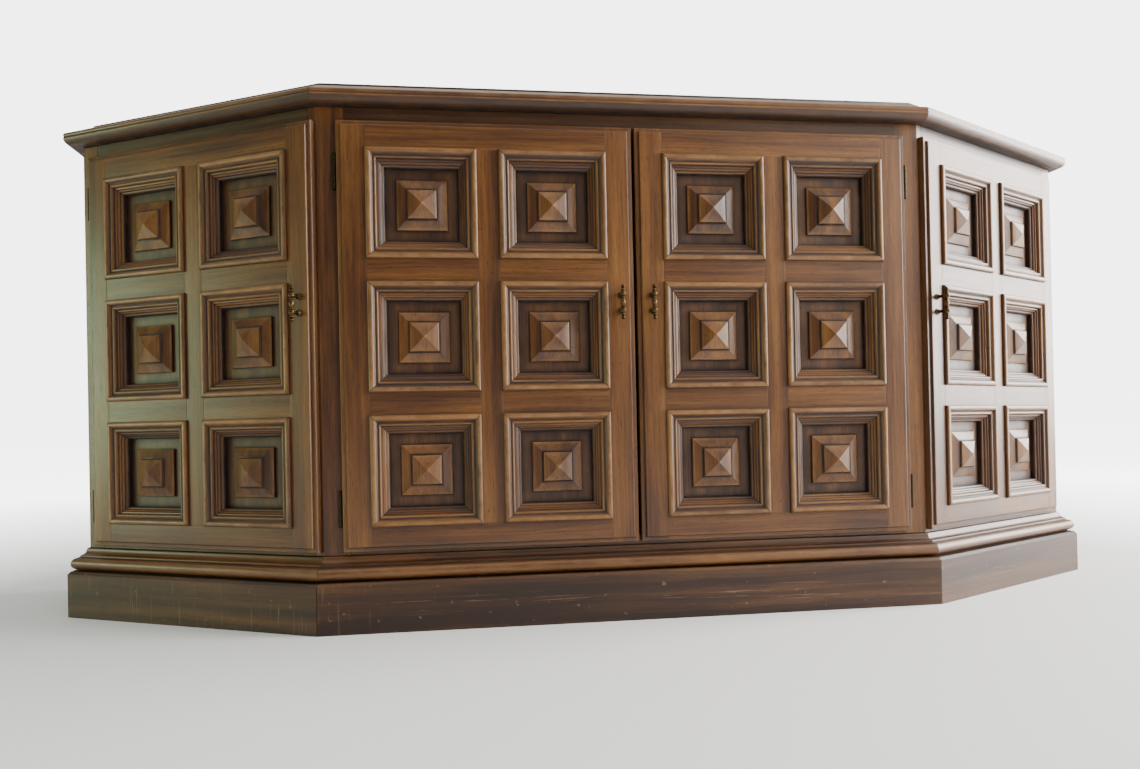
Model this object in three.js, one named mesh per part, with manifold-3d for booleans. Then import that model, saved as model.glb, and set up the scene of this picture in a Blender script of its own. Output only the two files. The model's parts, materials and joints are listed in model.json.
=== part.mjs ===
// Six-sided console television cabinet in walnut: a flat front with two doors, a canted bay with one
// door at each end, a moulded top, a plinth, and a television set behind the two front doors.
//
// Millimetres. +Z is up, the doors face -Y, +X is to the right of someone facing them. The origin is on
// the floor under the centre of the whole object's box.
import * as THREE from 'three';
import { mergeVertices } from 'three/addons/utils/BufferGeometryUtils.js';
import Module from 'manifold-3d';

const wasm = await Module();
wasm.setup();

// ---------------------------------------------------------------------------- driving dimensions

const GAP = 0.3; // clearance between pieces that rest on or butt against each other

// The carcass. Distances "out" are measured outwards from the plane of the face frame.
const CANT_ANGLE = (30 * Math.PI) / 180; // how far each end bay turns back from the front
const SIDE_DEPTH = 265; // straight run of each side, behind the canted bay
const BOARD = 19; // sides, rails and posts
const DECK_THICK = 15; // bottom board; its front edge shows below the doors
const PARTITION = 16;
const BACK_THICK = 5; // hardboard backs
const POST_SHOW = 27; // width of the corner post beside a front door
const CANT_POST_SHOW = 3; // width of the same post beside a canted door
const STILE_SHOW = 19; // width of the frame past the outer edge of a canted door
const TOP_RAIL_SHOW = 20; // height of the rail above the doors

const PLINTH_HEIGHT = 70;
const PLINTH_OUT = 28.5;
const PLINTH_THICK = 20;
const PLINTH_CHAMFER = 4;
const MOULDING_HEIGHT = 34;
const MOULDING_IN = 32; // how far the base moulding runs in under the cabinet
const TOP_THICK = 38;
const TOP_OVERHANG = 24.6;
const TOP_FIELD_IN = 13; // how far the raised field of the top stands in from the frame

// The doors: four alike, lipped over the frame, each with two columns of three moulded squares.
const SQUARE = 155;
const SQUARE_GAP_X = 30;
const SQUARE_GAP_Z = 31.5;
const COLUMNS = 2;
const ROWS = 3;
const DOOR_SIDE_MARGIN = 39; // least width of a stile; a wide television makes it wider
const DOOR_TOP_MARGIN = 38;
const DOOR_BOTTOM_MARGIN = 34;
const DOOR_MEET_GAP = 4; // between the two front doors
const DOOR_OUT = 13; // front of the door's main face
const LIP_OUT = 9; // front of the lip
const LIP_WIDTH = 7;
const LIP_OVERLAP = 10; // how far the lip covers the frame
const REBATE_CLEAR = 1.5; // between the door's back and the opening
const DOOR_BACK = 12; // how far the door's back stands inside the opening
const PANEL_IN = 5; // how far the sunk panels lie behind the frame's face
const MOULD_WIDTH = 26;
const MOULD_OUT = 18; // crest of the moulding round each square
const BLOCK_HALF = 35.5;
const BLOCK_RISE = 20;

// Hinges: butts with an exposed barrel at the edge of the lip, two to a door.
const HINGE_LENGTH = 51;
const HINGE_KNUCKLES = 5;
const BARREL_RADIUS = 3;
const PIN_RADIUS = 1.4;
const LEAF_THICK = 1.5;
const LEAF_WIDTH = 9;
const BARREL_CLEAR = 0.6; // between the barrel and the door's edge
const HINGE_TOP_INSET = 45; // door's top edge to the upper hinge
const HINGE_BOTTOM_INSET = 34; // door's bottom edge to the lower hinge

// Pulls: a turned bar on two posts.
const PULL_LENGTH = 50;
const PULL_POST_SPACING = 23;
const PULL_STANDOFF = 16;
const PULL_RADIUS = 4.6;
const PULL_INSET = 21; // door's edge to the bar
const PULL_DROP = 256; // door's top edge to the middle of the bar

// The side bays' shelves.
const SHELF_THICK = 16;
const SHELF_SETBACK = 42; // behind the canted frame
const SHELF_LEVEL = 0.5; // share of the bay's height, to the shelf's middle

// The television.
const BAFFLE_SETBACK = 45; // front of the set behind the face frame
const BAFFLE_THICK = 16;
const SCREEN_WIDTH = 540;
const SCREEN_HEIGHT = 420;
const SCREEN_CORNER = 60;
const SCREEN_EDGE = 20; // left side of the opening to the bezel
const SCREEN_TOP_EDGE = 10; // bezel or control panel to the top of the opening
const TUBE_LENGTH = 440;
const TUBE_WALL = 7;
const TUBE_CLEAR = 1.5; // between the tube and the baffle
const NECK_LENGTH = 150; // the yoke and the neck behind it
const RIM_DEPTH = 62; // the straight sides of the tube end here, behind the baffle's front
const SHOULDER_DEPTH = 132;
const SHOULDER_SHARE = 0.8; // the tube's width at the shoulder, as a share of the rim's
const THROAT_AT = 0.538; // share of the way from the shoulder to the yoke
const NECK_RADIUS = 18;
const YOKE_RADIUS = 70;
const BEZEL_OUT = 15; // how far the bezel covers the baffle
const BEZEL_LAP = 8; // how far it laps over the tube
const BEZEL_THICK = 9;
const CONTROL_WIDTH = 170;
const CONTROL_HEIGHT = 420;
const CONTROL_THICK = 7;
const CONTROL_GAP = 25; // bezel to the control panel
const CONTROL_EDGE = 35; // control panel to the right side of the opening
const KNOB_RADIUS = 28;
const KNOB_DEPTH = 17;
const KNOB_GAP = 0.6;
const VOLUME_RADIUS = 13;
const SHAFT_RADIUS = 3;
const SHAFT_CLEAR = 0.4;
const SPEAKER_HALF_WIDTH = 78;
const SPEAKER_HALF_HEIGHT = 46;
const SPEAKER_DEPTH = 62;
const SPEAKER_ABOVE_DECK = 20; // the speaker's lowest point above the bottom board
const SPEAKER_GAP = 8; // the speaker's highest point to the bezel
const CHASSIS_WIDTH = 600;
const CHASSIS_DEPTH = 210;
const CHASSIS_HEIGHT = 48;
const SHEET_THICK = 2;
const TRANSFORMER_HEIGHT = 82;
const BOARD_HEIGHT = 282; // the upright circuit board, beside the tube
const BOARD_CLEAR = 5.6; // between it and the tube
const BOARD_TO_END = 170; // from it to the end of the chassis
const CAN_RADIUS = 22;
const CAN_HEIGHT = 72;
const CUP_RADIUS = 62;
const CUP_DEPTH = 42; // least depth; a longer tube makes it deeper
const NECK_CLEAR = 39; // end of the tube to the inside of the cup
const CUP_WALL = 3;
const VENT_COUNT = 14;
const VENT_WIDTH = 6;
const VENT_LENGTH = 60;

// ---------------------------------------------------------------------------- worked-out sizes

// The television, from the opening's left side and up from the bottom board.
const SPEAKER_MIDDLE = SPEAKER_ABOVE_DECK + SPEAKER_HALF_HEIGHT;
const SCREEN_ABOVE_DECK = SPEAKER_MIDDLE + SPEAKER_HALF_HEIGHT + SPEAKER_GAP + BEZEL_OUT + SCREEN_HEIGHT / 2;
const SET_WIDTH = SCREEN_EDGE + 2 * BEZEL_OUT + SCREEN_WIDTH + CONTROL_GAP + CONTROL_WIDTH + CONTROL_EDGE;
const SET_HEIGHT = SCREEN_ABOVE_DECK + Math.max(SCREEN_HEIGHT / 2 + BEZEL_OUT, CONTROL_HEIGHT / 2) + SCREEN_TOP_EDGE;

// A door is as large as its squares or the television behind the front pair needs.
const SQUARES_WIDTH = COLUMNS * SQUARE + (COLUMNS - 1) * SQUARE_GAP_X;
const SQUARES_HEIGHT = ROWS * SQUARE + (ROWS - 1) * SQUARE_GAP_Z;
const DOOR_WIDTH = Math.max(2 * DOOR_SIDE_MARGIN + SQUARES_WIDTH, (SET_WIDTH - DOOR_MEET_GAP) / 2 + LIP_OVERLAP);
const DOOR_HEIGHT = Math.max(DOOR_TOP_MARGIN + SQUARES_HEIGHT + DOOR_BOTTOM_MARGIN, SET_HEIGHT + 2 * LIP_OVERLAP);
const SQUARES_LEFT = (DOOR_WIDTH - SQUARES_WIDTH) / 2;
const SQUARES_BOTTOM = (DOOR_HEIGHT - SQUARES_HEIGHT - DOOR_TOP_MARGIN + DOOR_BOTTOM_MARGIN) / 2;
const HALF_FRONT = DOOR_MEET_GAP / 2 + DOOR_WIDTH + POST_SHOW;
const CANT_LENGTH = CANT_POST_SHOW + DOOR_WIDTH + STILE_SHOW;
const SIDE_OUT = HALF_FRONT + CANT_LENGTH * Math.cos(CANT_ANGLE);
const CANT_DEPTH = CANT_LENGTH * Math.sin(CANT_ANGLE);
const BODY_DEPTH = CANT_DEPTH + SIDE_DEPTH;

const FRONT_OUT = Math.max(PLINTH_OUT, DOOR_OUT + GAP + PULL_STANDOFF + PULL_RADIUS);
const CUP_OUT = Math.max(CUP_DEPTH, BAFFLE_SETBACK + TUBE_LENGTH + NECK_CLEAR + CUP_WALL - BODY_DEPTH);
const FRAME_Y = FRONT_OUT - (FRONT_OUT + BODY_DEPTH + CUP_OUT) / 2;
const BACK_Y = FRAME_Y + BODY_DEPTH;
const PANEL_Y = BACK_Y - BACK_THICK; // front of the hardboard backs

const MOULDING_Z = PLINTH_HEIGHT + GAP;
const CARCASS_Z = MOULDING_Z + MOULDING_HEIGHT + GAP; // underside of the posts, sides and deck
const DECK_Z = CARCASS_Z + DECK_THICK;
const DOOR_Z = DECK_Z - LIP_OVERLAP;
const DOOR_TOP = DOOR_Z + DOOR_HEIGHT;
const OPENING_TOP = DOOR_TOP - LIP_OVERLAP;
const CARCASS_TOP = DOOR_TOP + TOP_RAIL_SHOW;
const TOP_Z = CARCASS_TOP + GAP;
const OPENING_HALF = DOOR_MEET_GAP / 2 + DOOR_WIDTH - LIP_OVERLAP;
const SIDE_IN = SIDE_OUT - BOARD;
const BAY_IN = OPENING_HALF + PARTITION; // a partition's outer face
const SCREEN_X = SCREEN_EDGE + BEZEL_OUT + SCREEN_WIDTH / 2 - OPENING_HALF;
const CONTROL_X = SCREEN_X + SCREEN_WIDTH / 2 + BEZEL_OUT + CONTROL_GAP + CONTROL_WIDTH / 2;

// ---------------------------------------------------------------------------- solids

function manifoldOf(geometry) {
  const bare = geometry.index ? geometry.toNonIndexed() : geometry.clone();
  bare.deleteAttribute('normal');
  bare.deleteAttribute('uv');
  const merged = mergeVertices(bare, 1e-4);
  return new wasm.Manifold(new wasm.Mesh({
    numProp: 3,
    vertProperties: new Float32Array(merged.attributes.position.array),
    triVerts: new Uint32Array(merged.index.array),
  }));
}

function geometryOf(manifold) {
  const mesh = manifold.getMesh();
  const geometry = new THREE.BufferGeometry();
  geometry.setAttribute('position', new THREE.BufferAttribute(new Float32Array(mesh.vertProperties), 3));
  geometry.setIndex(new THREE.BufferAttribute(new Uint32Array(mesh.triVerts), 1));
  const faceted = geometry.toNonIndexed();
  faceted.computeVertexNormals();
  return faceted;
}

function join(geometries) {
  return geometryOf(geometries.map(manifoldOf).reduce((whole, piece) => whole.add(piece)));
}

function cut(geometry, cutters) {
  return geometryOf(cutters.map(manifoldOf).reduce((whole, cutter) => whole.subtract(cutter), manifoldOf(geometry)));
}

// A box between two values on each axis.
function block([x0, x1], [y0, y1], [z0, z1]) {
  const box = new THREE.BoxGeometry(x1 - x0, y1 - y0, z1 - z0);
  return box.translate((x0 + x1) / 2, (y0 + y1) / 2, (z0 + z1) / 2);
}

// An outline seen from above, raised from z0 to z1.
function upright(outline, z0, z1) {
  const shape = new THREE.Shape(outline.map(([x, y]) => new THREE.Vector2(x, y)));
  return new THREE.ExtrudeGeometry(shape, { depth: z1 - z0, bevelEnabled: false }).translate(0, 0, z0);
}

// A skin through matching closed loops of points, with a flat cap on the first and the last.
function loft(loops) {
  const count = loops[0].length;
  const points = loops.flat();
  const triangles = [];
  for (let k = 0; k + 1 < loops.length; k += 1) {
    for (let i = 0; i < count; i += 1) {
      const a = k * count + i;
      const b = k * count + ((i + 1) % count);
      triangles.push(a, b, b + count, a, b + count, a + count);
    }
  }
  const first = capTriangles(loops[0]);
  const last = capTriangles(loops[loops.length - 1]);
  const lastStart = (loops.length - 1) * count;
  first.forEach(([a, b, c]) => triangles.push(a, c, b));
  last.forEach(([a, b, c]) => triangles.push(lastStart + a, lastStart + b, lastStart + c));
  const geometry = new THREE.BufferGeometry();
  geometry.setAttribute('position', new THREE.Float32BufferAttribute(points.flatMap((p) => p.toArray()), 3));
  geometry.setIndex(triangles);
  return facingOut(geometry);
}

// Triangles over a flat loop, wound the way the loop runs.
function capTriangles(loop) {
  const normal = new THREE.Vector3();
  loop.forEach((p, i) => normal.add(new THREE.Vector3().crossVectors(p, loop[(i + 1) % loop.length])));
  normal.normalize();
  const across = new THREE.Vector3().subVectors(loop[1], loop[0]).normalize();
  const along = new THREE.Vector3().crossVectors(normal, across);
  const flat = loop.map((p) => new THREE.Vector2(p.dot(across), p.dot(along)));
  return THREE.ShapeUtils.triangulateShape(flat, []);
}

function facingOut(geometry) {
  const solid = manifoldOf(geometry);
  if (solid.volume() >= 0) return geometryOf(solid);
  const index = geometry.index.array;
  for (let i = 0; i < index.length; i += 3) [index[i + 1], index[i + 2]] = [index[i + 2], index[i + 1]];
  return geometryOf(manifoldOf(geometry));
}

// A profile of [radius, height] points turned about +Z.
function turned(profile, segments) {
  return new THREE.LatheGeometry(profile.map(([r, h]) => new THREE.Vector2(r, h)), segments).rotateX(Math.PI / 2);
}

function rod(radius, z0, z1, segments = 12) {
  return turned([[0, z0], [radius, z0], [radius, z1], [0, z1]], segments);
}

// The same, standing out of a door or panel: height becomes distance towards -Y.
function turnedForward(profile, segments) {
  return turned(profile, segments).rotateX(Math.PI / 2);
}

// A profile of [half width, distance out] points run round a square, with mitred corners.
function squareTurned(profile) {
  return turnedForward(profile.map(([half, out]) => [half * Math.SQRT2, out]), 4).rotateY(Math.PI / 4);
}

// ---------------------------------------------------------------------------- plan of the cabinet

// Where the front meets a canted bay, and a canted bay meets a side, on a line `out` from the frame.
// `side` is 1 for the right and -1 for the left.
function frontCorner(side, out) {
  return [side * (HALF_FRONT + out * Math.tan(CANT_ANGLE / 2)), FRAME_Y - out];
}

function sideCorner(side, out) {
  const slip = (1 - Math.sin(CANT_ANGLE)) / Math.cos(CANT_ANGLE);
  return [side * (SIDE_OUT + out), FRAME_Y + CANT_DEPTH - out * slip];
}

function backCorner(side, out) {
  return [side * (SIDE_OUT + out), BACK_Y];
}

// The whole outline at one distance out, from the back left round the front to the back right.
function outline(out) {
  return [backCorner(-1, out), sideCorner(-1, out), frontCorner(-1, out),
    frontCorner(1, out), sideCorner(1, out), backCorner(1, out)];
}

// A point on a canted bay: `along` from the front corner, `out` from the frame.
function onCant(side, along, out) {
  const x = HALF_FRONT + along * Math.cos(CANT_ANGLE) + out * Math.sin(CANT_ANGLE);
  const y = FRAME_Y + along * Math.sin(CANT_ANGLE) - out * Math.cos(CANT_ANGLE);
  return [side * x, y];
}

// The point on a canted line `out` from the frame at a given distance from the cabinet's middle.
function onCantAt(side, x, out) {
  const along = (x - HALF_FRONT - out * Math.sin(CANT_ANGLE)) / Math.cos(CANT_ANGLE);
  return onCant(side, along, out);
}

function shiftAlong([ax, ay], [bx, by], distance) {
  const length = Math.hypot(bx - ax, by - ay);
  return [ax + ((bx - ax) * distance) / length, ay + ((by - ay) * distance) / length];
}

// ---------------------------------------------------------------------------- materials

function finish(color, roughness, metalness = 0) {
  return new THREE.MeshStandardMaterial({ color, roughness, metalness });
}

const WALNUT = finish(0x6b4526, 0.4);
const INSIDE_WOOD = finish(0x9c7a52, 0.7);
const HARDBOARD = finish(0x6d5136, 0.85);
const ANTIQUE_BRASS = finish(0x8a6a35, 0.4, 1);
const HINGE_BRASS = finish(0x5f4a2a, 0.45, 1);
const TUBE_GLASS = finish(0x3c423e, 0.12);
const BLACK_PLASTIC = finish(0x161514, 0.5);
const PANEL_METAL = finish(0x2b2723, 0.4, 0.6);
const KNOB_PLASTIC = finish(0x1b1a19, 0.35);
const STEEL = finish(0x8d9093, 0.45, 1);
const SPEAKER_BLACK = finish(0x1d1d1f, 0.7);

const cabinet = new THREE.Group();

function add(name, geometry, material, group = cabinet) {
  const mesh = new THREE.Mesh(geometry, material);
  mesh.name = name;
  group.add(mesh);
}

const SIDES = [['left', -1], ['right', 1]];

// ---------------------------------------------------------------------------- plinth and base moulding

// One plinth board between two corners of the outline, mitred at both, with a chamfered top edge.
function plinthBoard(cornerA, cornerB) {
  const inner = PLINTH_OUT - PLINTH_THICK;
  const levels = [[PLINTH_OUT, 0], [PLINTH_OUT, PLINTH_HEIGHT - PLINTH_CHAMFER],
    [PLINTH_OUT - PLINTH_CHAMFER, PLINTH_HEIGHT], [inner, PLINTH_HEIGHT], [inner, 0]];
  const ends = [[cornerA, cornerB], [cornerB, cornerA]];
  return loft(ends.map(([here, there]) => levels.map(([out, z]) => {
    const [x, y] = shiftAlong(here(out), there(out), GAP / 2);
    return new THREE.Vector3(x, y, z);
  })));
}

function addPlinth() {
  const left = (corner) => (out) => corner(-1, out);
  const right = (corner) => (out) => corner(1, out);
  add('plinth_front', plinthBoard(left(frontCorner), right(frontCorner)), WALNUT);
  add('plinth_left_cant', plinthBoard(left(sideCorner), left(frontCorner)), WALNUT);
  add('plinth_right_cant', plinthBoard(right(frontCorner), right(sideCorner)), WALNUT);
  add('plinth_left_side', plinthBoard(left(backCorner), left(sideCorner)), WALNUT);
  add('plinth_right_side', plinthBoard(right(sideCorner), right(backCorner)), WALNUT);
  const depth = [BACK_Y - BOARD, BACK_Y];
  const lowHalf = SIDE_OUT + PLINTH_OUT - PLINTH_THICK - GAP;
  const highHalf = SIDE_OUT - MOULDING_IN - GAP;
  const low = block([-lowHalf, lowHalf], depth, [0, PLINTH_HEIGHT]);
  const high = block([-highHalf, highHalf], depth, [PLINTH_HEIGHT - 1, CARCASS_Z - GAP]);
  add('plinth_back', join([low, high]), INSIDE_WOOD);
}

// The moulding between the plinth and the carcass: a torus below, a quirk, then a cove up to the body.
function addBaseMoulding() {
  const torusRadius = 8;
  const torusMiddle = MOULDING_Z + torusRadius + 2;
  const profile = [[-MOULDING_IN, MOULDING_Z], [15, MOULDING_Z]];
  for (let step = 0; step <= 5; step += 1) {
    const angle = -Math.PI / 2 + (Math.PI * step) / 5;
    profile.push([16.4 + torusRadius * Math.cos(angle), torusMiddle + torusRadius * Math.sin(angle)]);
  }
  const top = MOULDING_Z + MOULDING_HEIGHT;
  profile.push([13, torusMiddle + torusRadius + 1], [13, top - 11], [9, top - 6], [5, top - 3]);
  profile.push([3, top], [-MOULDING_IN, top]);
  const corners = outline(0).map((_, i) => i);
  const loops = corners.map((i) => profile.map(([out, z]) => {
    const [x, y] = outline(out)[i];
    return new THREE.Vector3(x, y, z);
  }));
  add('base_moulding', loft(loops), WALNUT);
}

// ---------------------------------------------------------------------------- carcass

// The corner post's outline: its front face, its canted face, and a square back.
function postOutline(side, grow = 0) {
  const cantEnd = CANT_POST_SHOW + LIP_OVERLAP + grow;
  return [[side * (OPENING_HALF - grow), FRAME_Y - grow], frontCorner(side, grow), onCant(side, cantEnd, grow),
    onCant(side, cantEnd, -BOARD - grow), [side * (OPENING_HALF - grow), onCant(side, cantEnd, -BOARD - grow)[1]]];
}

// The side board with its front stile: the stile lies in the canted plane and the door laps over it.
function sideOutline(side) {
  const stileStart = CANT_LENGTH - STILE_SHOW - LIP_OVERLAP;
  return [sideCorner(side, 0), onCant(side, stileStart, 0), onCant(side, stileStart, -BOARD),
    onCantAt(side, SIDE_IN, -BOARD), [side * SIDE_IN, BACK_Y], [side * SIDE_OUT, BACK_Y]];
}

// Pockets in the frame for the hinge leaves, in a door's own axes.
function leafPockets(door) {
  const across = fromHingedEdge(door, -AXIS_ASIDE - LEAF_THICK / 2 - GAP, LIP_OVERLAP + 1);
  const depth = [-GAP, LEAF_THICK + 2 * GAP];
  return hingeLevels().map((z) =>
    block(across, depth, [z - GAP, z + HINGE_LENGTH + GAP]).applyMatrix4(doorMatrix(door)));
}

function addCarcass() {
  for (const [word, side] of SIDES) {
    const pocketsOf = (names) => DOORS.filter((door) => names.includes(door.name)).flatMap(leafPockets);
    const post = upright(postOutline(side), CARCASS_Z, CARCASS_TOP);
    add(`${word}_corner_post`, cut(post, pocketsOf([`front_${word}_door`])), WALNUT);
    const board = upright(sideOutline(side), CARCASS_Z, CARCASS_TOP);
    add(`${word}_side_panel`, cut(board, pocketsOf([`${word}_cant_door`])), WALNUT);
    add(`${word}_partition`, partition(side), INSIDE_WOOD);
    add(`${word}_cant_top_rail`, cantRail(side), WALNUT);
    add(`${word}_shelf`, shelf(side), INSIDE_WOOD);
    add(`${word}_back_panel`, backPanel(side), HARDBOARD);
  }
  const railHalf = OPENING_HALF - GAP;
  const rail = block([-railHalf, railHalf], [FRAME_Y, FRAME_Y + BOARD], [OPENING_TOP, CARCASS_TOP]);
  add('front_top_rail', rail, WALNUT);
  add('bottom_board', deck(), INSIDE_WOOD);
  add('top_board', topBoard(), WALNUT);
}

function deck() {
  const half = SIDE_IN - GAP;
  const plan = [[-half, PANEL_Y - GAP], onCantAt(-1, half, 0), frontCorner(-1, 0),
    frontCorner(1, 0), onCantAt(1, half, 0), [half, PANEL_Y - GAP]];
  const posts = SIDES.map(([, side]) => upright(postOutline(side, GAP), CARCASS_Z - 1, DECK_Z + 1));
  const stiles = SIDES.map(([, side]) => upright(stileOutline(side), CARCASS_Z - 1, DECK_Z + 1));
  return cut(upright(plan, CARCASS_Z, DECK_Z), [...posts, ...stiles]);
}

// The notch that the bottom board needs around a side's front stile.
function stileOutline(side) {
  const start = CANT_LENGTH - STILE_SHOW - LIP_OVERLAP - GAP;
  return [onCant(side, CANT_LENGTH, 1), onCant(side, start, 1), onCant(side, start, -BOARD - GAP),
    onCant(side, CANT_LENGTH, -BOARD - GAP)];
}

function partition(side) {
  const front = onCant(side, CANT_POST_SHOW + LIP_OVERLAP, -BOARD)[1] + GAP;
  const across = side > 0 ? [OPENING_HALF, BAY_IN] : [-BAY_IN, -OPENING_HALF];
  return block(across, [front, PANEL_Y - GAP], [DECK_Z + GAP, CARCASS_TOP]);
}

function cantRail(side) {
  const start = CANT_POST_SHOW + LIP_OVERLAP + GAP;
  const end = CANT_LENGTH - STILE_SHOW - LIP_OVERLAP - GAP;
  const plan = [onCant(side, start, 0), onCant(side, end, 0), onCant(side, end, -BOARD), onCant(side, start, -BOARD)];
  return upright(plan, OPENING_TOP, CARCASS_TOP);
}

function shelf(side) {
  const middle = DECK_Z + (CARCASS_TOP - DECK_Z) * SHELF_LEVEL;
  const plan = [onCantAt(side, BAY_IN + GAP, -SHELF_SETBACK), onCantAt(side, SIDE_IN - GAP, -SHELF_SETBACK),
    [side * (SIDE_IN - GAP), PANEL_Y - GAP], [side * (BAY_IN + GAP), PANEL_Y - GAP]];
  return upright(plan, middle - SHELF_THICK / 2, middle + SHELF_THICK / 2);
}

function backPanel(side) {
  const inner = OPENING_HALF + PARTITION / 2 + GAP;
  const across = side > 0 ? [inner, SIDE_IN - GAP] : [-SIDE_IN + GAP, -inner];
  return block(across, [PANEL_Y, BACK_Y], [CARCASS_Z, CARCASS_TOP]);
}

// The top: a flat underside, a quarter round up to a crisp tip, a bead, a long sloping cove and a
// small step up to the raised field.
function topBoard() {
  const tipZ = TOP_Z + 10;
  const top = TOP_Z + TOP_THICK;
  const fieldEdge = -TOP_FIELD_IN;
  const steps = [[14, TOP_Z], [20, TOP_Z + 3.5], [TOP_OVERHANG, tipZ], [TOP_OVERHANG - 0.6, tipZ + 5],
    [TOP_OVERHANG - 6, tipZ + 9.5], [8, top - 14], [fieldEdge + 4, top - 5], [fieldEdge, top - 3.5],
    [fieldEdge, top - 1], [fieldEdge - 1, top]];
  return loft(steps.map(([out, z]) => outline(out).map(([x, y]) => new THREE.Vector3(x, y, z))));
}

// ---------------------------------------------------------------------------- doors

// Each door's own axes: X across it from its left edge, -Y out of the cabinet, Z up from its bottom edge.
const DOORS = [
  { name: 'left_cant_door', corner: onCant(-1, CANT_POST_SHOW + DOOR_WIDTH, 0), turn: -CANT_ANGLE, hingeEdge: 'left' },
  { name: 'front_left_door', corner: [-DOOR_MEET_GAP / 2 - DOOR_WIDTH, FRAME_Y], turn: 0, hingeEdge: 'left' },
  { name: 'front_right_door', corner: [DOOR_MEET_GAP / 2, FRAME_Y], turn: 0, hingeEdge: 'right' },
  { name: 'right_cant_door', corner: onCant(1, CANT_POST_SHOW, 0), turn: CANT_ANGLE, hingeEdge: 'right' },
];

function doorMatrix(door) {
  const turn = new THREE.Matrix4().makeRotationZ(door.turn);
  return turn.setPosition(door.corner[0], door.corner[1], DOOR_Z);
}

function doorGroup(door) {
  const group = new THREE.Group();
  group.position.set(door.corner[0], door.corner[1], DOOR_Z);
  group.rotation.z = door.turn;
  cabinet.add(group);
  return group;
}

// Middles of the moulded squares, in the door's own axes.
function squareMiddles() {
  const middles = [];
  for (let column = 0; column < COLUMNS; column += 1) {
    for (let row = 0; row < ROWS; row += 1) {
      const x = SQUARES_LEFT + SQUARE / 2 + column * (SQUARE + SQUARE_GAP_X);
      const z = SQUARES_BOTTOM + SQUARE / 2 + row * (SQUARE + SQUARE_GAP_Z);
      middles.push([x, z]);
    }
  }
  return middles;
}

// The ring of moulding round one square: bead, cove, second bead and a step down to the panel.
function squareMoulding() {
  const half = SQUARE / 2;
  const back = GAP;
  const steps = [[0, back], [0, MOULD_OUT - 3], [2, MOULD_OUT - 0.5], [5.5, MOULD_OUT], [8, MOULD_OUT - 1.5],
    [11, MOULD_OUT - 4.5], [13.3, MOULD_OUT - 3.8], [16, MOULD_OUT - 8], [19, MOULD_OUT - 9], [21.5, MOULD_OUT - 12],
    [MOULD_WIDTH, MOULD_OUT - 14.5], [MOULD_WIDTH, back], [0, back]];
  return squareTurned(steps.map(([inset, out]) => [half - inset, out]));
}

function doorFrame(door) {
  const back = -GAP;
  const lip = block([0, DOOR_WIDTH], [-LIP_OUT, back], [0, DOOR_HEIGHT]);
  const face = block([LIP_WIDTH, DOOR_WIDTH - LIP_WIDTH], [-DOOR_OUT, back], [LIP_WIDTH, DOOR_HEIGHT - LIP_WIDTH]);
  const holeHalf = SQUARE / 2 - 1;
  const holes = squareMiddles().map(([x, z]) =>
    block([x - holeHalf, x + holeHalf], [-DOOR_OUT - 1, 1], [z - holeHalf, z + holeHalf]));
  const rings = squareMiddles().map(([x, z]) => squareMoulding().translate(x, 0, z));
  const framed = join([cut(join([lip, face]), holes), ...rings]);
  return cut(framed, hingeLevels().map((z) => doorLeafPocket(door, z)));
}

function doorLeafPocket(door, z) {
  const across = fromHingedEdge(door, -1, LEAF_WIDTH + GAP);
  return block(across, [-LEAF_THICK - 3 * GAP, 1], [z - GAP, z + HINGE_LENGTH + GAP]);
}

// The board behind the mouldings, which stands in the opening: six sunk squares with raised blocks.
function doorPanel() {
  const rebate = LIP_OVERLAP + REBATE_CLEAR;
  const back = block([rebate, DOOR_WIDTH - rebate], [0, DOOR_BACK], [rebate, DOOR_HEIGHT - rebate]);
  const wellHalf = SQUARE / 2 - MOULD_WIDTH;
  const wells = squareMiddles().map(([x, z]) =>
    block([x - wellHalf, x + wellHalf], [-1, PANEL_IN], [z - wellHalf, z + wellHalf]));
  const blocks = squareMiddles().map(([x, z]) => raisedBlock().translate(x, PANEL_IN, z));
  return join([cut(back, wells), ...blocks]);
}

// A square block: a low edge, a bevel, a steep step and a small pyramid.
function raisedBlock() {
  const profile = [[0, -1], [BLOCK_HALF, -1], [BLOCK_HALF, 4.3], [BLOCK_HALF - 13, 8.5],
    [BLOCK_HALF - 18.5, 13.5], [0, BLOCK_RISE]];
  return squareTurned(profile);
}

// A turned pull: a bar with finials and beads, on two posts.
function pull() {
  const half = PULL_LENGTH / 2;
  const post = PULL_POST_SPACING / 2;
  const bar = turned([[0, -half], [2.6, -half + 0.8], [3.4, -half + 3], [2, -half + 5.5], [3.2, -half + 7],
    [3.2, -post - 3.4], [PULL_RADIUS, -post - 2.2], [PULL_RADIUS, -post + 2.2], [2.6, -post + 3.6], [4, 0],
    [2.6, post - 3.6], [PULL_RADIUS, post - 2.2], [PULL_RADIUS, post + 2.2], [3.2, post + 3.4],
    [3.2, half - 7], [2, half - 5.5], [3.4, half - 3], [2.6, half - 0.8], [0, half]], 10);
  const posts = [-post, post].map((z) => {
    const profile = [[0, 0], [5, 0], [5, 1.5], [2.6, 3.5], [2.6, PULL_STANDOFF], [0, PULL_STANDOFF]];
    return turnedForward(profile, 8).translate(0, PULL_STANDOFF, z);
  });
  return join([bar, ...posts]);
}

function addPull(door, group) {
  const x = door.hingeEdge === 'left' ? DOOR_WIDTH - PULL_INSET : PULL_INSET;
  const y = -DOOR_OUT - GAP - PULL_STANDOFF;
  add(`${door.name}_pull`, pull().translate(x, y, DOOR_HEIGHT - PULL_DROP), ANTIQUE_BRASS, group);
}

// ---------------------------------------------------------------------------- hinges

const AXIS_OUT = BARREL_RADIUS + GAP; // the pin's distance out from the frame
const AXIS_ASIDE = BARREL_RADIUS + BARREL_CLEAR; // the pin's distance beyond the door's edge

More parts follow.
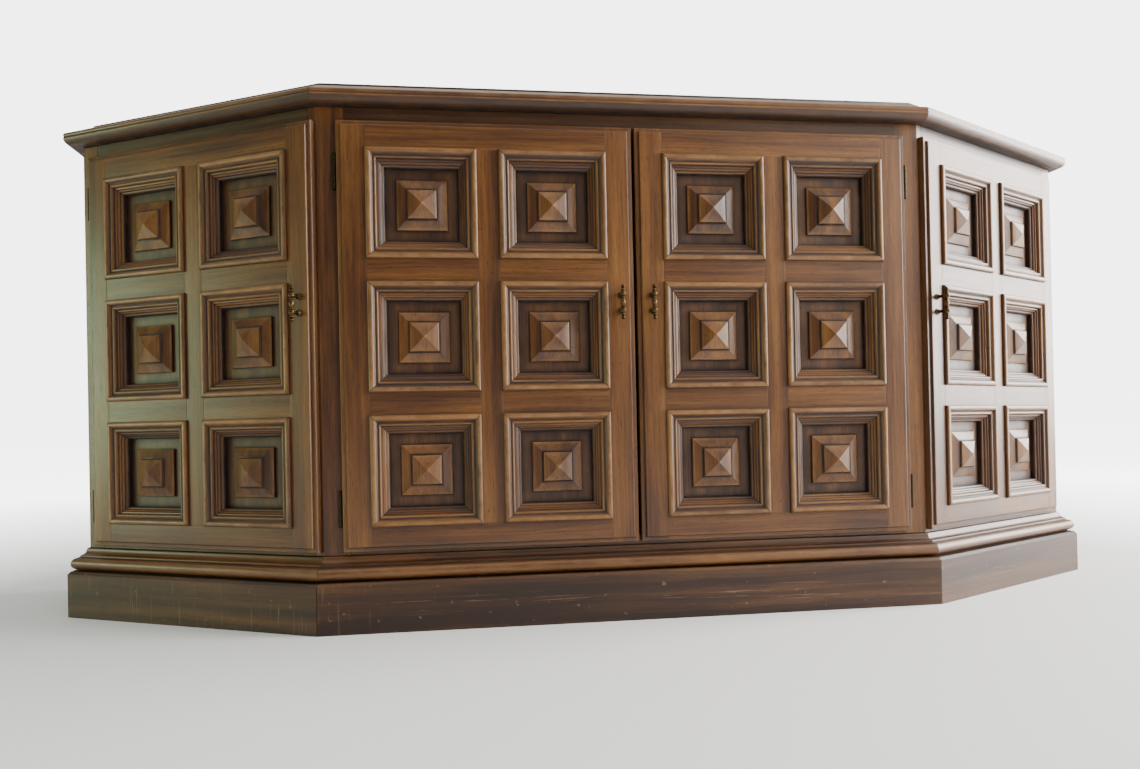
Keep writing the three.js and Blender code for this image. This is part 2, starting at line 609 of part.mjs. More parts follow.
function hingeLevels() {
  return [HINGE_BOTTOM_INSET, DOOR_HEIGHT - HINGE_TOP_INSET - HINGE_LENGTH];
}

// A span across the door, measured inwards from whichever edge is hinged.
function fromHingedEdge(door, start, end) {
  return door.hingeEdge === 'left' ? [start, end] : [DOOR_WIDTH - end, DOOR_WIDTH - start];
}

function knuckleSpan(index) {
  const pitch = HINGE_LENGTH / HINGE_KNUCKLES;
  return [index * pitch + GAP / 2, (index + 1) * pitch - GAP / 2];
}

// The knuckles that belong to one leaf.
function everyOther(first) {
  const mine = [];
  for (let index = first; index < HINGE_KNUCKLES; index += 2) mine.push(index);
  return mine;
}

// Drawn for a left-hinged door with the pin at the origin, then mirrored for a right-hinged one.
function frameLeaf() {
  const inner = AXIS_ASIDE + LEAF_WIDTH - GAP;
  const plate = block([-LEAF_THICK / 2, inner], [AXIS_OUT + GAP, AXIS_OUT + GAP + LEAF_THICK], [0, HINGE_LENGTH]);
  const pin = rod(PIN_RADIUS, 0, HINGE_LENGTH, 8);
  const knuckles = everyOther(0).flatMap((index) => {
    const [z0, z1] = knuckleSpan(index);
    return [rod(BARREL_RADIUS, z0, z1, 10), block([-LEAF_THICK / 2, LEAF_THICK / 2], [0, AXIS_OUT + 2 * GAP], [z0, z1])];
  });
  return join([plate, pin, ...knuckles]);
}

function doorLeaf() {
  const top = AXIS_OUT - 2 * GAP - LEAF_THICK;
  const plate = block([AXIS_ASIDE, AXIS_ASIDE + LEAF_WIDTH], [top, top + LEAF_THICK], [0, HINGE_LENGTH]);
  const bore = rod(PIN_RADIUS + GAP, -1, HINGE_LENGTH + 1, 8);
  const knuckles = everyOther(1).flatMap((index) => {
    const [z0, z1] = knuckleSpan(index);
    return [rod(BARREL_RADIUS, z0, z1, 10), block([0, AXIS_ASIDE + 1], [top, top + LEAF_THICK], [z0, z1])];
  });
  return cut(join([plate, ...knuckles]), [bore]);
}

function addHinges(door, group) {
  const mirror = door.hingeEdge === 'left' ? 1 : -1;
  const x = door.hingeEdge === 'left' ? -AXIS_ASIDE : DOOR_WIDTH + AXIS_ASIDE;
  hingeLevels().forEach((z, index) => {
    const word = index === 0 ? 'lower' : 'upper';
    const place = (geometry) => facingOut(indexed(geometry.scale(mirror, 1, 1).translate(x, -AXIS_OUT, z)));
    add(`${door.name}_${word}_hinge_frame_leaf`, place(frameLeaf()), HINGE_BRASS, group);
    add(`${door.name}_${word}_hinge_door_leaf`, place(doorLeaf()), HINGE_BRASS, group);
  });
}

// A mirrored shape is wound inside out, so its triangles are turned over again.
function indexed(geometry) {
  const bare = geometry.clone();
  bare.deleteAttribute('normal');
  return mergeVertices(bare, 1e-4);
}

function addDoors() {
  for (const door of DOORS) {
    const group = doorGroup(door);
    add(`${door.name}_frame`, doorFrame(door), WALNUT, group);
    add(`${door.name}_panel`, doorPanel(), WALNUT, group);
    addPull(door, group);
    addHinges(door, group);
  }
}

// ---------------------------------------------------------------------------- television

const BAFFLE_Y = FRAME_Y + BAFFLE_SETBACK;
const BAY_HALF = OPENING_HALF - 2 * GAP;
const SCREEN_Z = DECK_Z + SCREEN_ABOVE_DECK;
const SPEAKER_Z = DECK_Z + SPEAKER_MIDDLE;

// A rectangle with round corners, in the XZ plane, as a loop of points at one depth.
function roundedLoop(halfWidth, halfHeight, corner, y, cornerSteps = 4) {
  const loop = [];
  const quarters = [[1, 1, 0], [-1, 1, 1], [-1, -1, 2], [1, -1, 3]];
  for (const [sx, sz, quarter] of quarters) {
    for (let step = 0; step <= cornerSteps; step += 1) {
      const angle = ((quarter + step / cornerSteps) * Math.PI) / 2;
      const x = sx * (halfWidth - corner) + corner * Math.cos(angle);
      const z = sz * (halfHeight - corner) + corner * Math.sin(angle);
      loop.push(new THREE.Vector3(SCREEN_X + x, y, SCREEN_Z + z));
    }
  }
  return loop;
}

// The tube's envelope, `wall` in from its outside: a rim, a funnel, the yoke and the neck.
function tubeFunnel(wall) {
  const w = SCREEN_WIDTH / 2 - TUBE_CLEAR - wall;
  const h = SCREEN_HEIGHT / 2 - TUBE_CLEAR - wall;
  const rim = BAFFLE_Y + 12 + wall;
  const end = BAFFLE_Y + TUBE_LENGTH + (wall > 0 ? 1 : 0);
  const shoulder = BAFFLE_Y + SHOULDER_DEPTH;
  const yoke = BAFFLE_Y + TUBE_LENGTH - NECK_LENGTH;
  const yokeRadius = YOKE_RADIUS - wall;
  const neckRadius = NECK_RADIUS - wall / 2;
  return [
    roundedLoop(w, h, SCREEN_CORNER, rim),
    roundedLoop(w, h, SCREEN_CORNER, BAFFLE_Y + RIM_DEPTH),
    roundedLoop(w * SHOULDER_SHARE, h * SHOULDER_SHARE, SCREEN_CORNER * 1.6, shoulder),
    roundedLoop(w * 0.45, h * 0.5, h * 0.45, shoulder + (yoke - shoulder) * THROAT_AT),
    roundedLoop(yokeRadius, yokeRadius, yokeRadius - 1, yoke),
    roundedLoop(yokeRadius, yokeRadius, yokeRadius - 1, yoke + 50 - wall),
    roundedLoop(neckRadius, neckRadius, neckRadius - 0.5, yoke + 52 - wall),
    roundedLoop(neckRadius, neckRadius, neckRadius - 0.5, end),
  ];
}

// Half the tube's width at a depth behind the baffle's front, as far as the shoulder.
function tubeHalfWidth(depth) {
  const taper = THREE.MathUtils.clamp((depth - RIM_DEPTH) / (SHOULDER_DEPTH - RIM_DEPTH), 0, 1);
  return (SCREEN_WIDTH / 2 - TUBE_CLEAR) * (1 - (1 - SHOULDER_SHARE) * taper);
}

// The picture tube: an open-necked glass envelope with a bulged face.
function pictureTube() {
  const w = SCREEN_WIDTH / 2 - TUBE_CLEAR;
  const h = SCREEN_HEIGHT / 2 - TUBE_CLEAR;
  const face = [
    roundedLoop(w * 0.3, h * 0.3, SCREEN_CORNER * 0.3, BAFFLE_Y - 7),
    roundedLoop(w * 0.7, h * 0.7, SCREEN_CORNER * 0.6, BAFFLE_Y - 3),
    roundedLoop(w * 0.97, h * 0.97, SCREEN_CORNER, BAFFLE_Y + 6),
  ];
  return cut(loft([...face, ...tubeFunnel(0)]), [loft(tubeFunnel(TUBE_WALL))]);
}

// The moulded surround that covers the edge of the tube.
function screenBezel() {
  const ring = (grow, y) => roundedLoop(SCREEN_WIDTH / 2 + grow, SCREEN_HEIGHT / 2 + grow, SCREEN_CORNER, y);
  const front = BAFFLE_Y - GAP - BEZEL_THICK;
  const back = BAFFLE_Y - GAP;
  const outer = loft([ring(BEZEL_OUT - 5, front), ring(BEZEL_OUT, front + 4), ring(BEZEL_OUT, back)]);
  const hole = loft([ring(-2, front - 1), ring(-BEZEL_LAP, back + 1)]);
  return cut(outer, [hole]);
}

function ovalForward(halfWidth, halfHeight, length, segments = 20) {
  return turnedForward([[0, 0], [1, 0], [1, length], [0, length]], segments).scale(halfWidth, 1, halfHeight);
}

// The set's front board, with openings for the tube, the controls' shafts and the speaker.
function baffle() {
  const board = block([-BAY_HALF, BAY_HALF], [BAFFLE_Y, BAFFLE_Y + BAFFLE_THICK], [DECK_Z + GAP, CARCASS_TOP - BOARD]);
  const past = BAFFLE_THICK + 1;
  const screen = loft([roundedLoop(SCREEN_WIDTH / 2, SCREEN_HEIGHT / 2, SCREEN_CORNER, BAFFLE_Y - 1),
    roundedLoop(SCREEN_WIDTH / 2, SCREEN_HEIGHT / 2, SCREEN_CORNER, BAFFLE_Y + past)]);
  const speaker = ovalForward(SPEAKER_HALF_WIDTH - 12, SPEAKER_HALF_HEIGHT - 10, past + 1)
    .translate(SCREEN_X, BAFFLE_Y + past, SPEAKER_Z);
  const shafts = KNOBS.map(({ z }) => rod(SHAFT_RADIUS + 3, 0, past + 1).rotateX(Math.PI / 2)
    .translate(CONTROL_X, BAFFLE_Y + past, z));
  return cut(board, [screen, speaker, ...shafts]);
}

const KNOBS = [
  { name: 'vhf_channel_knob', z: SCREEN_Z + 130, radius: KNOB_RADIUS },
  { name: 'uhf_channel_knob', z: SCREEN_Z + 45, radius: KNOB_RADIUS },
  { name: 'volume_knob', z: SCREEN_Z - 40, radius: VOLUME_RADIUS },
];

function controlPanel() {
  const half = CONTROL_WIDTH / 2;
  const plate = block([CONTROL_X - half, CONTROL_X + half], [BAFFLE_Y - GAP - CONTROL_THICK, BAFFLE_Y - GAP],
    [SCREEN_Z - CONTROL_HEIGHT / 2, SCREEN_Z + CONTROL_HEIGHT / 2]);
  const holes = KNOBS.map(({ z }) => rod(SHAFT_RADIUS + SHAFT_CLEAR, 0, CONTROL_THICK + 2)
    .rotateX(Math.PI / 2).translate(CONTROL_X, BAFFLE_Y + 1, z));
  return cut(plate, holes);
}

// A knob with a skirt, a grip bar across it and the shaft behind.
function knob({ radius }) {
  const shaft = CONTROL_THICK + BAFFLE_THICK;
  const body = turnedForward([[0, -shaft], [SHAFT_RADIUS, -shaft], [SHAFT_RADIUS, 0], [radius, 0], [radius, 3],
    [radius * 0.72, 5], [radius * 0.68, KNOB_DEPTH - 4], [0, KNOB_DEPTH - 4]], 20);
  const bar = block([-radius * 0.16, radius * 0.16], [-KNOB_DEPTH, -4], [-radius * 0.62, radius * 0.62]);
  return join([body, bar]);
}

function speaker() {
  const y = BAFFLE_Y + BAFFLE_THICK + GAP;
  const profile = [[0, 6], [0.35, 6], [0.88, 1], [1, 1], [1, 0], [1, -4], [0.86, -6], [0.5, -34], [0.5, -SPEAKER_DEPTH],
    [0, -SPEAKER_DEPTH]].map(([r, out]) => [r, out - 6]);
  return turnedForward(profile.reverse(), 20).scale(SPEAKER_HALF_WIDTH, 1, SPEAKER_HALF_HEIGHT)
    .translate(SCREEN_X, y, SPEAKER_Z);
}

// The chassis: a steel tray, open below, with a transformer, a capacitor can and an upright board.
function chassis() {
  const y0 = BAFFLE_Y + BAFFLE_THICK + SPEAKER_DEPTH + 25;
  const z0 = DECK_Z + GAP;
  const boardX = SCREEN_X + tubeHalfWidth(y0 + 10 - BAFFLE_Y) + BOARD_CLEAR;
  const x1 = Math.max(CHASSIS_WIDTH / 2, boardX + BOARD_TO_END);
  const x0 = x1 - CHASSIS_WIDTH;
  const wall = SHEET_THICK;
  const tray = cut(block([x0, x1], [y0, y0 + CHASSIS_DEPTH], [z0, z0 + CHASSIS_HEIGHT]),
    [block([x0 + wall, x1 - wall], [y0 + wall, y0 + CHASSIS_DEPTH - wall], [z0 - 1, z0 + CHASSIS_HEIGHT - wall])]);
  const top = z0 + CHASSIS_HEIGHT;
  const transformer = block([boardX + 50, boardX + 150], [y0 + 40, y0 + 120], [top - 1, top + TRANSFORMER_HEIGHT]);
  const board = block([boardX, boardX + wall], [y0 + 10, y0 + CHASSIS_DEPTH - 10], [top - 1, top + BOARD_HEIGHT]);
  const can = rod(CAN_RADIUS, top - 1, top + CAN_HEIGHT, 14).translate(x0 + 50, y0 + 60, 0);
  return join([tray, transformer, board, can]);
}

// The set's back: hardboard with rows of vents and a cup over the end of the tube.
function backCover() {
  const half = OPENING_HALF + PARTITION / 2;
  const plate = block([-half, half], [PANEL_Y, BACK_Y], [CARCASS_Z, CARCASS_TOP]);
  const cup = ovalForward(CUP_RADIUS, CUP_RADIUS, CUP_OUT + 1).translate(SCREEN_X, BACK_Y + CUP_OUT, SCREEN_Z);
  const hollow = ovalForward(CUP_RADIUS - CUP_WALL, CUP_RADIUS - CUP_WALL, CUP_OUT + BACK_THICK + 1)
    .translate(SCREEN_X, BACK_Y + CUP_OUT - CUP_WALL, SCREEN_Z);
  const vents = [];
  for (let i = 0; i < VENT_COUNT; i += 1) {
    const x = (i - (VENT_COUNT - 1) / 2) * 4 * VENT_WIDTH;
    for (const z of [CARCASS_TOP - 2 * VENT_LENGTH, DECK_Z + VENT_LENGTH]) {
      vents.push(block([x, x + VENT_WIDTH], [PANEL_Y - 1, BACK_Y + 1], [z, z + VENT_LENGTH]));
    }
  }
  return cut(join([plate, cup]), [hollow, ...vents]);
}

function addTelevision() {
  add('tv_baffle', baffle(), BLACK_PLASTIC);
  add('picture_tube', pictureTube(), TUBE_GLASS);
  add('screen_bezel', screenBezel(), BLACK_PLASTIC);
  add('control_panel', controlPanel(), PANEL_METAL);
  for (const each of KNOBS) {
    const y = BAFFLE_Y - GAP - CONTROL_THICK - KNOB_GAP;
    add(each.name, knob(each).translate(CONTROL_X, y, each.z), KNOB_PLASTIC);
  }
  add('speaker', speaker(), SPEAKER_BLACK);
  add('tv_chassis', chassis(), STEEL);
  add('tv_back_cover', backCover(), HARDBOARD);
}

addPlinth();
addBaseMoulding();
addCarcass();
addDoors();
addTelevision();

export default cabinet;
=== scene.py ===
"""The console television cabinet's looks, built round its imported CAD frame.

Sizes here are in millimetres and are turned into metres when a mesh is made.
"""

import json
import math
import random

import bmesh
import bpy
import numpy as np
from mathutils import Matrix, Vector


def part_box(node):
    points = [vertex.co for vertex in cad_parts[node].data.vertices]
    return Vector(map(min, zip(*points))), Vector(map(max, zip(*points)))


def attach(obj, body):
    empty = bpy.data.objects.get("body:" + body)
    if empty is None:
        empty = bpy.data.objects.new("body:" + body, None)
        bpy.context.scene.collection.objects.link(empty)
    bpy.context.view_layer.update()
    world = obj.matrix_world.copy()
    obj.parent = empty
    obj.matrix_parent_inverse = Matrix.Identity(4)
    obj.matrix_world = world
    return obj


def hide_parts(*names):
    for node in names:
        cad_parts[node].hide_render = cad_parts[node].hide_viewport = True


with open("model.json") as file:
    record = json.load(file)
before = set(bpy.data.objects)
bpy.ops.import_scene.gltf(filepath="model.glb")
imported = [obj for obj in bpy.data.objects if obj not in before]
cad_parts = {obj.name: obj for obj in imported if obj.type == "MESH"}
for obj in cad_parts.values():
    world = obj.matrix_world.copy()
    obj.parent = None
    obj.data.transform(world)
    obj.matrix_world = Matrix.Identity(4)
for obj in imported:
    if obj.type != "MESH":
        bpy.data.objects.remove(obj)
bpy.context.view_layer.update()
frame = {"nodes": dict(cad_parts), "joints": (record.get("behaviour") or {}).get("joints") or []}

MM = 0.001
X, Y, Z = (1, 0, 0), (0, 1, 0), (0, 0, 1)

# ---------------------------------------------------------------------------- places from the frame


def low(node):
    """The low corner of a CAD node's box."""
    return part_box(node)[0] / MM


def high(node):
    """The high corner of a CAD node's box."""
    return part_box(node)[1] / MM


CANT = math.radians(30)
FRAME_Y = low("front_top_rail").y
BACK_Y = high("left_back_panel").y
SIDE_OUT = high("right_side_panel").x
DECK_TOP = high("bottom_board").z
CARCASS_BOTTOM = low("right_side_panel").z
CARCASS_TOP = high("front_top_rail").z
TOP_UNDER = low("top_board").z
TOP_SURFACE = high("top_board").z
MOULDING_LOW = low("base_moulding").z
MOULDING_HIGH = high("base_moulding").z
DOOR_LOW = low("front_left_door_frame").z
DOOR_WIDTH = high("front_left_door_frame").x - low("front_left_door_frame").x
DOOR_HEIGHT = high("front_left_door_frame").z - DOOR_LOW
CANT_LENGTH = 3 + DOOR_WIDTH + 19  # a canted face shows 3 mm of post and 19 of stile beside its door
HALF_FRONT = SIDE_OUT - CANT_LENGTH * math.cos(CANT)
CANT_DEPTH = CANT_LENGTH * math.sin(CANT)


def outline(out):
    """The plan's six corners that far out from the face frame, from back left round to back right."""
    slip = (1 - math.sin(CANT)) / math.cos(CANT)
    front = HALF_FRONT + out * math.tan(CANT / 2)
    side_y = FRAME_Y + CANT_DEPTH - out * slip
    side = SIDE_OUT + out
    return [(-side, BACK_Y), (-side, side_y), (-front, FRAME_Y - out), (front, FRAME_Y - out), (side, side_y),
            (side, BACK_Y)]


# ---------------------------------------------------------------------------- meshes


class Shape:
    """Points in millimetres with faces.

    Each point has its place in the grain and a darkness: glazing with painted shade, or below 0 wear with
    painted highlight.
    """

    def __init__(self):
        self.points, self.faces, self.grain, self.glaze = [], [], [], []

    def add(self, points, faces, along=Z, across=X, seed="", glaze=0.0):
        base = len(self.points)
        along, across = Vector(along).normalized(), Vector(across).normalized()
        axes = (along, across, along.cross(across))
        pick = random.Random(seed)
        start = Vector([pick.uniform(1, 9) for _ in range(3)])
        for p in points:
            at = Vector(p) * MM
            self.points.append(Vector(p))
            self.grain.append(Vector([at.dot(a) for a in axes]) + start)
        self.glaze += [glaze] * len(points) if np.isscalar(glaze) else list(glaze)
        self.faces += [[base + i for i in f] for f in faces]
        return self


def piece(name, shape, material, body="cabinet", slot=None, matrix=None, smooth=32, bevel=0, segments=2,
          replaces=()):
    """Makes one object of a shape, in place, and lets it ride on its body."""
    mesh = bpy.data.meshes.new(name)
    mesh.from_pydata([p * MM for p in shape.points], [], shape.faces)
    grain = mesh.attributes.new("grain", "FLOAT_VECTOR", "POINT")
    grain.data.foreach_set("vector", np.array(shape.grain, np.float32).ravel())
    glaze = mesh.attributes.new("glaze", "FLOAT", "POINT")
    glaze.data.foreach_set("value", np.array(shape.glaze, np.float32))
    mesh.materials.append(material)
    edit = bmesh.new()
    edit.from_mesh(mesh)
    bmesh.ops.recalc_face_normals(edit, faces=edit.faces)
    edit.to_mesh(mesh)
    edit.free()
    mesh.shade_smooth()
    mesh.set_sharp_from_angle(angle=math.radians(smooth))
    ob = bpy.data.objects.new(name, mesh)
    bpy.context.scene.collection.objects.link(ob)
    if matrix is not None:
        ob.matrix_world = matrix
    if bevel:
        ease_edges(ob, bevel, segments)
    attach(ob, body)
    if replaces:
        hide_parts(*replaces)


def ease_edges(ob, width, segments=2):
    """A fine round along every sharp edge."""
    mod = ob.modifiers.new("arris", "BEVEL")
    mod.width, mod.segments, mod.limit_method, mod.angle_limit = width * MM, segments, "ANGLE", math.radians(32)
    mod.harden_normals = False


def skin(loops):
    """Faces between matching loops of points. Returns points and faces."""
    count = len(loops[0])
    points = [p for loop in loops for p in loop]
    faces = []
    for k in range(len(loops) - 1):
        for i in range(count):
            a, b = k * count + i, k * count + (i + 1) % count
            faces.append((a, b, b + count, a + count))
    faces += [tuple(range(count))[::-1], tuple(range((len(loops) - 1) * count, len(loops) * count))]
    return points, faces


def turned(profile, segments=40, axis="z", centre=(0, 0, 0)):
    """A profile of (radius, height) turned about an axis; a forward axis makes height run towards -Y."""
    rings = []
    for r, h in profile:
        ring = []
        for i in range(segments):
            a = 2 * math.pi * i / segments
            u, v = r * math.cos(a), r * math.sin(a)
            p = (u, v, h) if axis == "z" else (u, -h, v)
            ring.append(Vector(p) + Vector(centre))
        rings.append(ring)
    return skin(rings)


def ring_skin(loops):
    """Faces of a ring whose cross-section runs from the first loop round to the last and back."""
    count, total = len(loops[0]), len(loops)
    points = [p for loop in loops for p in loop]
    faces = []
    for k in range(total):
        here, there = k * count, (k + 1) % total * count
        faces += [(here + i, here + (i + 1) % count, there + (i + 1) % count, there + i) for i in range(count)]
    return points, faces


def upright_ring(x, y, z, across, up, count):
    """Points of an ellipse that faces the front."""
    angles = (2 * math.pi * k / count for k in range(count))
    return [(x + across * math.cos(a), y, z + up * math.sin(a)) for a in angles]


def arc(cx, cy, rx, ry, start, end, steps):
    """Points of an elliptical arc, in degrees."""
    angles = [math.radians(start + (end - start) * i / steps) for i in range(steps + 1)]
    return [(cx + rx * math.cos(a), cy + ry * math.sin(a)) for a in angles]


def box_points(lo, hi):
    """Points and faces of a box between its low and high corners."""
    (x0, y0, z0), (x1, y1, z1) = lo, hi
    points = [(x, y, z) for x in (x0, x1) for y in (y0, y1) for z in (z0, z1)]
    return points, [(0, 1, 3, 2), (4, 6, 7, 5), (0, 4, 5, 1), (2, 3, 7, 6), (0, 2, 6, 4), (1, 5, 7, 3)]


# ---------------------------------------------------------------------------- materials


class Nodes:
    """A material being wired. Each input takes a socket or a plain value."""

    def __init__(self, name, metallic=0.0):
        self.mat = bpy.data.materials.new(name)
        self.mat.use_nodes = True
        self.tree = self.mat.node_tree
        self.tree.nodes.clear()
        self.shader = self.tree.nodes.new("ShaderNodeBsdfPrincipled")
        out = self.tree.nodes.new("ShaderNodeOutputMaterial")
        self.tree.links.new(self.shader.outputs[0], out.inputs["Surface"])
        self.shader.inputs["Metallic"].default_value = metallic

    def feed(self, socket, value):
        if isinstance(value, bpy.types.NodeSocket):
            self.tree.links.new(value, socket)
        elif value is not None:
            if socket.type == "RGBA" and len(value) == 3:
                value = (*value, 1)
            socket.default_value = value

    def node(self, kind, inputs=(), **settings):
        n = self.tree.nodes.new(kind)
        for k, v in settings.items():
            setattr(n, k, v)
        for k, v in dict(inputs).items():
            self.feed(n.inputs[k], v)
        return n

    def math(self, operation, a, b=0.0, clamp=False):
        n = self.node("ShaderNodeMath", operation=operation, use_clamp=clamp)
        self.feed(n.inputs[0], a)
        self.feed(n.inputs[1], b)
        return n.outputs[0]

    def times(self, a, b):
        return self.math("MULTIPLY", a, b)

    def plus(self, a, b):
        return self.math("ADD", a, b)

    def vector(self, operation, a, b=(0, 0, 0)):
        n = self.node("ShaderNodeVectorMath", operation=operation)
        self.feed(n.inputs[0], a)
        self.feed(n.inputs[1], b)
        return n.outputs[0]

    def noise(self, coords, scale, detail=2.0, roughness=0.5, distortion=0.0, output=0):
        """Noise in coordinates scaled by one number, or by three along their axes."""
        scale = scale if isinstance(scale, tuple) else (scale,) * 3
        coords = self.node("ShaderNodeMapping", {"Vector": coords, "Scale": scale}).outputs[0]
        inputs = {"Vector": coords, "Scale": 1.0, "Detail": detail, "Roughness": roughness,
                  "Distortion": distortion}
        return self.node("ShaderNodeTexNoise", inputs).outputs[output]

    def ramp(self, fac, stops):
        n = self.node("ShaderNodeValToRGB")
        elements = n.color_ramp.elements
        while len(elements) < len(stops):
            elements.new(0.5)
        for e, (at, colour) in zip(elements, stops):
            e.position = at
            e.color = (*colour, 1)
        self.feed(n.inputs[0], fac)
        return n.outputs[0]

    def span(self, value, a, b, lo=0.0, hi=1.0):
        n = self.node("ShaderNodeMapRange", {"Value": value, "From Min": a, "From Max": b, "To Min": lo,
                                             "To Max": hi})
        n.clamp = True
        return n.outputs[0]

    def mix(self, fac, a, b):
        n = self.node("ShaderNodeMix", data_type="RGBA")
        self.feed(n.inputs[0], fac)
        self.feed(n.inputs[6], a)
        self.feed(n.inputs[7], b)
        return n.outputs[2]

    def bump(self, height, strength=0.3, distance=0.0005):
        n = self.node("ShaderNodeBump", {"Height": height, "Strength": strength, "Distance": distance})
        self.tree.links.new(n.outputs[0], self.shader.inputs["Normal"])

    def attribute(self, name, output):
        return self.node("ShaderNodeAttribute", attribute_name=name).outputs[output]

    def object_coords(self):
        return self.node("ShaderNodeTexCoord").outputs["Object"]

    def finish(self, colour=None, roughness=None, **values):
        self.feed(self.shader.inputs["Base Color"], colour)
        self.feed(self.shader.inputs["Roughness"], roughness)
        for name, value in values.items():
            self.shader.inputs[name.replace("_", " ")].default_value = value
        return self.mat


WALNUT_TONES = [(0.22, (0.036, 0.0105, 0.0018)), (0.42, (0.092, 0.0310, 0.0048)),
                (0.56, (0.142, 0.0530, 0.0085)), (0.78, (0.222, 0.0930, 0.0175))]
PLINTH_TONES = [(0.22, (0.020, 0.0066, 0.0018)), (0.42, (0.048, 0.0175, 0.0040)),
                (0.56, (0.076, 0.0300, 0.0068)), (0.78, (0.118, 0.0510, 0.0125))]


def wood(name, turn=None, tones=WALNUT_TONES, gloss=0.39, uses_glazing_and_shade=True, wear=None, figure=1.0, pores=1.0,
         coat=0.20):
    """Lacquered walnut. Its grain follows the mesh's grain coordinates, or on a CAD node a turned frame."""
    n = Nodes(name)
    if turn is None:
        at = n.attribute("grain", "Vector")
    else:
        at = n.node("ShaderNodeMapping", {"Vector": n.object_coords(), "Rotation": turn}).outputs[0]
    drift = n.vector("SUBTRACT", n.noise(at, (3.0, 16, 16), detail=2, output=1), (0.5, 0.5, 0.5))
    at = n.vector("ADD", at, n.vector("MULTIPLY", drift, (0, 0.016, 0.016)))
    bands = n.noise(at, (1.3, 46, 46), detail=3, roughness=0.55)
    cloud = n.noise(at, (4.5, 9, 9), detail=2)
    streak = n.noise(at, (9, 330, 330), detail=2, roughness=0.6)
    vessel = n.noise(at, (55, 1500, 1500), detail=1)
    tone = n.plus(n.times(n.math("SUBTRACT", bands, 0.5), 0.95 * figure), n.times(cloud, 0.45))
    tone = n.plus(tone, 0.24)
    tone = n.plus(tone, n.times(n.math("SUBTRACT", streak, 0.5), 0.42))
    colour = n.ramp(tone, tones)
    open_pore = n.span(vessel, 0.57, 0.68)
    colour = n.mix(n.times(open_pore, 0.55 * pores), colour, (0.016, 0.0065, 0.0030))
    rough = n.span(streak, 0.3, 0.7, gloss - 0.05, gloss + 0.07)
    # The per-point darkness paints shade in grooves, coves, sunk panels and under overhangs, together with dark
    # glazing.
    if uses_glazing_and_shade:
        glaze = n.attribute("glaze", "Fac")
        patch = n.noise(n.attribute("grain", "Vector"), 28, detail=3, roughness=0.65)
        patchy = n.span(patch, 0.32, 0.7, 0.72, 1.18)
        dark = n.math("MULTIPLY", n.math("MAXIMUM", glaze, 0.0), patchy, clamp=True)
        # Painted shade and glazing: this pulls the colour towards near-black brown.
        colour = n.mix(n.times(dark, 0.95), colour, (0.0085, 0.0034, 0.0016))
        # Below 0 the darkness turns into a golden brightening: wear on crests and edges together with painted
        # highlight.
        wear_and_highlight = n.math("MULTIPLY", n.math("MAXIMUM", n.times(glaze, -1.0), 0.0),
                      n.span(patch, 0.36, 0.66, 0.35, 1.5), clamp=True)
        colour = n.mix(n.times(wear_and_highlight, 0.6), colour, (0.430, 0.235, 0.080))
        rough = n.plus(rough, n.times(dark, 0.30))
        speck = n.noise(n.attribute("grain", "Vector"), 150, detail=2, roughness=0.7)
        colour = n.mix(n.times(n.span(speck, 0.69, 0.75), 0.7), colour, (0.012, 0.005, 0.003))
    if wear:
        scratches, colour_to = wear(n)
        colour = n.mix(scratches, colour, colour_to)
        rough = n.plus(rough, n.times(scratches, 0.25))
    height = n.math("SUBTRACT", n.times(streak, 0.6), n.times(open_pore, 0.7 * pores))
    n.bump(height, 0.22, 0.0004)
    return n.finish(colour, rough, Coat_Weight=coat, Coat_Roughness=0.24, Specular_IOR_Level=0.43)


def plinth_wear(n):
    """Fine scuffs along the low half of the plinth and upright scratches by its left corner."""
    at = n.object_coords()
    split = n.node("ShaderNodeSeparateXYZ", {0: at})
    height, across = split.outputs[2], split.outputs[0]
    band = n.times(n.span(height, 0.012, 0.024), n.span(height, 0.050, 0.036))
    lines = n.span(n.noise(at, (9, 9, 330), detail=3, roughness=0.6), 0.615, 0.67)
    groups = n.span(n.noise(at, (5, 5, 20), detail=1), 0.44, 0.6)
    level = n.times(n.times(lines, band), groups)
    upright = n.span(n.noise(at, (420, 420, 11), detail=2), 0.63, 0.69)
    corner = n.times(n.span(across, -0.36, -0.45), n.span(n.noise(at, (26, 26, 20), detail=1), 0.42, 0.6))
    nicks = n.span(n.noise(at, (90, 90, 120), detail=2), 0.70, 0.73)
    marks = n.math("MAXIMUM", n.times(level, 0.75), n.times(n.times(upright, corner), 0.7))
    marks = n.math("MAXIMUM", marks, n.times(nicks, 0.55))
    return n.times(marks, 0.6), (0.30, 0.20, 0.115)


def brass(name, base, dark, roughness=0.34):
    """Antiqued brass: bright on the rubbed parts, brown where it has toned."""
    n = Nodes(name, metallic=1.0)
    at = n.object_coords()
    cloud = n.noise(at, 160, detail=4, roughness=0.65)
    fine = n.noise(at, 1400, detail=2)
    toned = n.span(n.plus(cloud, n.times(n.attribute("glaze", "Fac"), 0.5)), 0.42, 0.72)
    colour = n.mix(toned, base, dark)
    rough = n.plus(n.span(toned, 0, 1, roughness, roughness + 0.22), n.span(fine, 0.3, 0.7, -0.03, 0.05))
    n.bump(n.plus(cloud, n.times(fine, 0.3)), 0.18, 0.0003)
    return n.finish(colour, rough)


def plastic(name, colour, roughness=0.45, fleck=900, strength=0.25, variation=0.25):
    """Moulded plastic or paint with a fine skin and dust-soft patches."""
    n = Nodes(name)
    at = n.object_coords()
    grit = n.noise(at, fleck, detail=2)
    cloud = n.noise(at, 24, detail=3, roughness=0.6)
    lighter = tuple(min(1, c * (1 + variation) + 0.004) for c in colour)
    darker = tuple(c * (1 - variation) for c in colour)
    shade = n.mix(n.span(cloud, 0.3, 0.7), darker, lighter)
    n.bump(grit, strength, 0.0002)
    return n.finish(shade, n.span(cloud, 0.3, 0.7, roughness - 0.05, roughness + 0.08))


